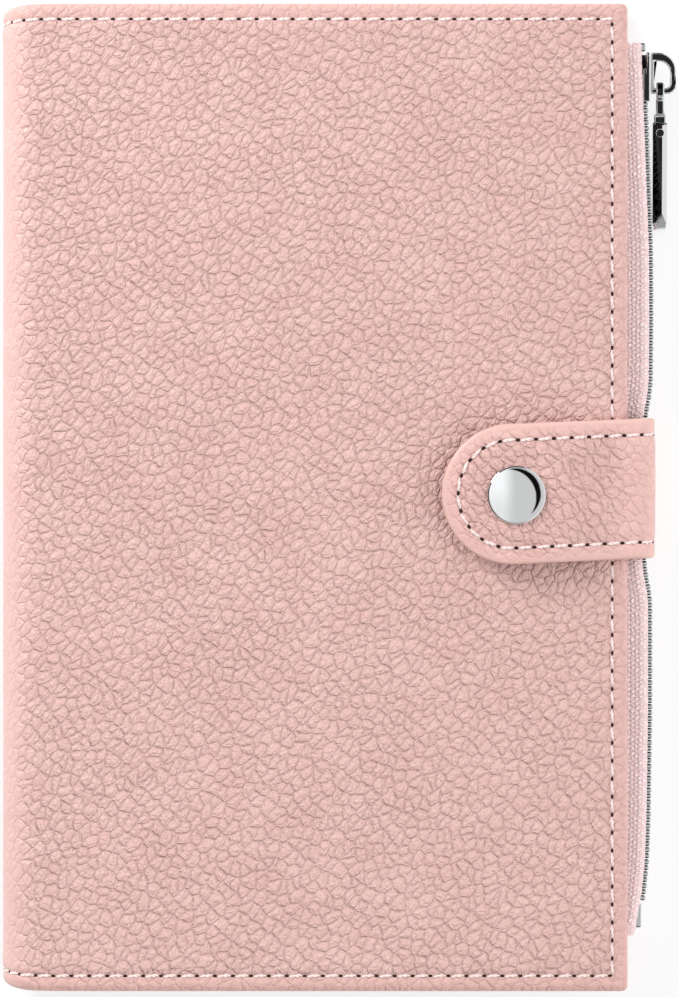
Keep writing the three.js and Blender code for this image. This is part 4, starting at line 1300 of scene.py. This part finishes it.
def mirrored_room(tree, direction):
    """What the metal mirrors: a white ceiling with one dark strip, dark walls and a white right wall."""
    split = add(tree, "ShaderNodeSeparateXYZ", {0: direction}).outputs
    flat = add(tree, "ShaderNodeCombineXYZ", {0: split["X"], 1: split["Y"]}).outputs[0]
    away = add(tree, "ShaderNodeVectorMath", {0: flat}, operation="LENGTH").outputs["Value"]
    # Each zone: what it is measured on, where it starts and ends, and its value there
    zones = {
        "left": (split["X"], -0.30, 0.02, 1.0, 0.0),
        "upper": (split["Y"], -0.35, 0.25, 0.55, 1.0),
        "right": (split["X"], 0.20, 0.35, 0.0, 1.0),
        "lower": (split["Y"], -0.75, -0.55, 1.0, 0.0),
        "walls": (away, 0.575, 0.60, 0.0, 1.0),
    }
    for label, centre, radius, inside in (
        ("outer_circle", (-0.149, -0.046, 0), 0.545, 0.0),
        ("inner_circle", (-0.011, 0.026, 0), 0.497, 1.0),
    ):
        distance = add(tree, "ShaderNodeVectorMath", {0: flat}, {1: centre}, operation="DISTANCE")
        zones[label] = (distance.outputs["Value"], radius - 0.012, radius + 0.012, inside, 1.0 - inside)
    masks = {}
    for label, (measure, low, high, first, last) in zones.items():
        masks[label] = add(
            tree,
            "ShaderNodeMapRange",
            {"Value": measure},
            {"From Min": low, "From Max": high, "To Min": first, "To Max": last},
            interpolation_type="SMOOTHSTEP",
        ).outputs["Result"]
    glow = add(tree, "ShaderNodeMath", {0: masks["left"], 1: masks["upper"]}, operation="MULTIPLY").outputs[0]
    circles = {0: masks["outer_circle"], 1: masks["inner_circle"]}
    strip = add(tree, "ShaderNodeMath", circles, operation="MULTIPLY").outputs[0]
    ceiling = add(tree, "ShaderNodeMix", {"Factor": glow}, {"A": 0.73, "B": 1.2}).outputs["Result"]
    ceiling = add(tree, "ShaderNodeMix", {"Factor": strip, "A": ceiling}, {"B": 0.005}).outputs["Result"]
    walls = add(tree, "ShaderNodeMix", {"Factor": masks["lower"]}, {"A": 0.025, "B": 0.42}).outputs["Result"]
    walls = add(tree, "ShaderNodeMix", {"Factor": masks["right"], "A": walls}, {"B": 0.92}).outputs["Result"]
    both = add(tree, "ShaderNodeMix", {"Factor": masks["walls"], "A": ceiling, "B": walls})
    return both.outputs["Result"]


def make_world():
    """White to the camera, a lit room to everything else and a room with dark walls to mirrors."""
    world = bpy.data.worlds.new("studio")
    world.use_nodes = True
    tree = world.node_tree
    tree.nodes.clear()
    direction = add(tree, "ShaderNodeTexCoord").outputs["Generated"]
    rays = add(tree, "ShaderNodeLightPath").outputs
    lit = studio_light(tree, direction)
    mirrored = mirrored_room(tree, direction)
    others = add(tree, "ShaderNodeMix", {"Factor": rays["Is Glossy Ray"], "A": lit, "B": mirrored})
    links = {"Factor": rays["Is Camera Ray"], "A": others.outputs["Result"]}
    strength = add(tree, "ShaderNodeMix", links, {"B": 1.0}).outputs["Result"]
    back = add(tree, "ShaderNodeBackground", {"Strength": strength}, {"Color": (1, 1, 1, 1)})
    add(tree, "ShaderNodeOutputWorld", {"Surface": back.outputs[0]})
    bpy.context.scene.world = world


def make_seams(tree, cover_put, cover_length, strap_put, strap_length, strap_width):
    """The cover's seam all round its edge and the strap's seam."""
    units = (stitch_unit(), hole_unit(NEEDLE_HOLE))
    finishes = (sewing_thread("twisted_thread"), needle_hole("needle_hole"))
    line = seam_line(cover_length, COVER_HEIGHT, SEAM_INSET, COVER_CORNER, True)
    seam = ("cover_seam", tree, units, finishes, line, cover_put, COVER_SEAM_DEPTH, "cover_leather")
    for piece in make_seam(*seam):
        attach(piece, "wallet")
    line = seam_line(strap_length, strap_width, STRAP_SEAM, STRAP_TIP_RADIUS, False)
    seam = ("strap_seam", tree, units, finishes, line, strap_put, STRAP_SEAM_DEPTH, "strap_leather")
    for piece in make_seam(*seam):
        bend_with_strap(piece)
    for unit in units:
        bpy.data.objects.remove(unit)


def make_inside():
    """Boards, lining and pockets, which show between the covers."""
    board = grey_board("bookbinding_board")
    lining = plain_weave("lining_polyester", "#d9b0ab", "#b98c88")
    inner = smooth_leather("inner_split_leather", "#dcb2ab", "#c2938d")
    for node in ("front_stiffener", "back_stiffener"):
        softened(node, 0.1, board, "wallet")
    softened("inner_lining", 0.12, lining, "wallet")
    softened("zip_pocket", 0.2, lining, "wallet")
    for node in ("card_slot_1", "card_slot_2", "card_slot_3", "passport_sleeve"):
        softened(node, 0.18, inner, "wallet")


def make_metal(tree):
    """The zip's metal, the puller and the snap."""
    nickel = polished_nickel("polished_nickel")
    bright = zip_nickel("nickel_teeth")
    mirror = polished_nickel("mirror_nickel", "#e6e7e8", 0.03)
    make_teeth(tree, bright)
    for node in ("zip_top_stop_front", "zip_top_stop_back", "zip_bottom_stop"):
        softened(node, 0.25, bright, "wallet")
    black = black_nickel_worn_and_highlit("black_nickel_worn_and_highlit")
    softened("zip_slider", 0.16, black, "slider")
    softened("slider_bridge", 0.26, black, "slider", clamp=False)
    softened("puller_link", 0.24, black, "puller", sharp=50, clamp=False)
    for node in ("puller_tab", "puller_pin"):
        softened(node, 0.16, black, "puller")
    make_cap(mirror)
    softened("snap_socket", 0.15, nickel, "strap")
    for node in ("snap_stud", "snap_post"):
        softened(node, 0.12, nickel, "wallet")


def main():
    """The stage first, then the leather, the seams, the zip, the inside and the metal."""
    scene = bpy.context.scene
    scene.view_settings.view_transform = "Standard"
    make_camera()
    make_key_light()
    make_world()
    make_floor(floor_finish("studio_white"))
    cover_tones = ("#e0b8b1", "#dcb2ab")
    strap_tones = ("#e2b8b1", "#ddb1aa")
    # Each leather's third colour is painted shade for the creases of its grain
    # The cover's hem tone is painted shade for its hem
    cover_leather = pebbled_leather("pebbled_pink_leather", cover_tones, "#cf8f88", hem_shade_tone="#d5a9a1")
    strap_leather = pebbled_leather("pebbled_strap_leather", strap_tones, "#ca8a83", edge_paint="#e0b8af")
    tree = instancer()
    cover_line, cover_put = make_cover(cover_leather)
    strap_line, strap_put, strap_width = make_strap(strap_leather)
    make_seams(tree, cover_put, cover_line.total, strap_put, strap_line.total, strap_width)
    make_tapes(knitted_tape("knitted_tape"))
    make_inside()
    make_metal(tree)


main()
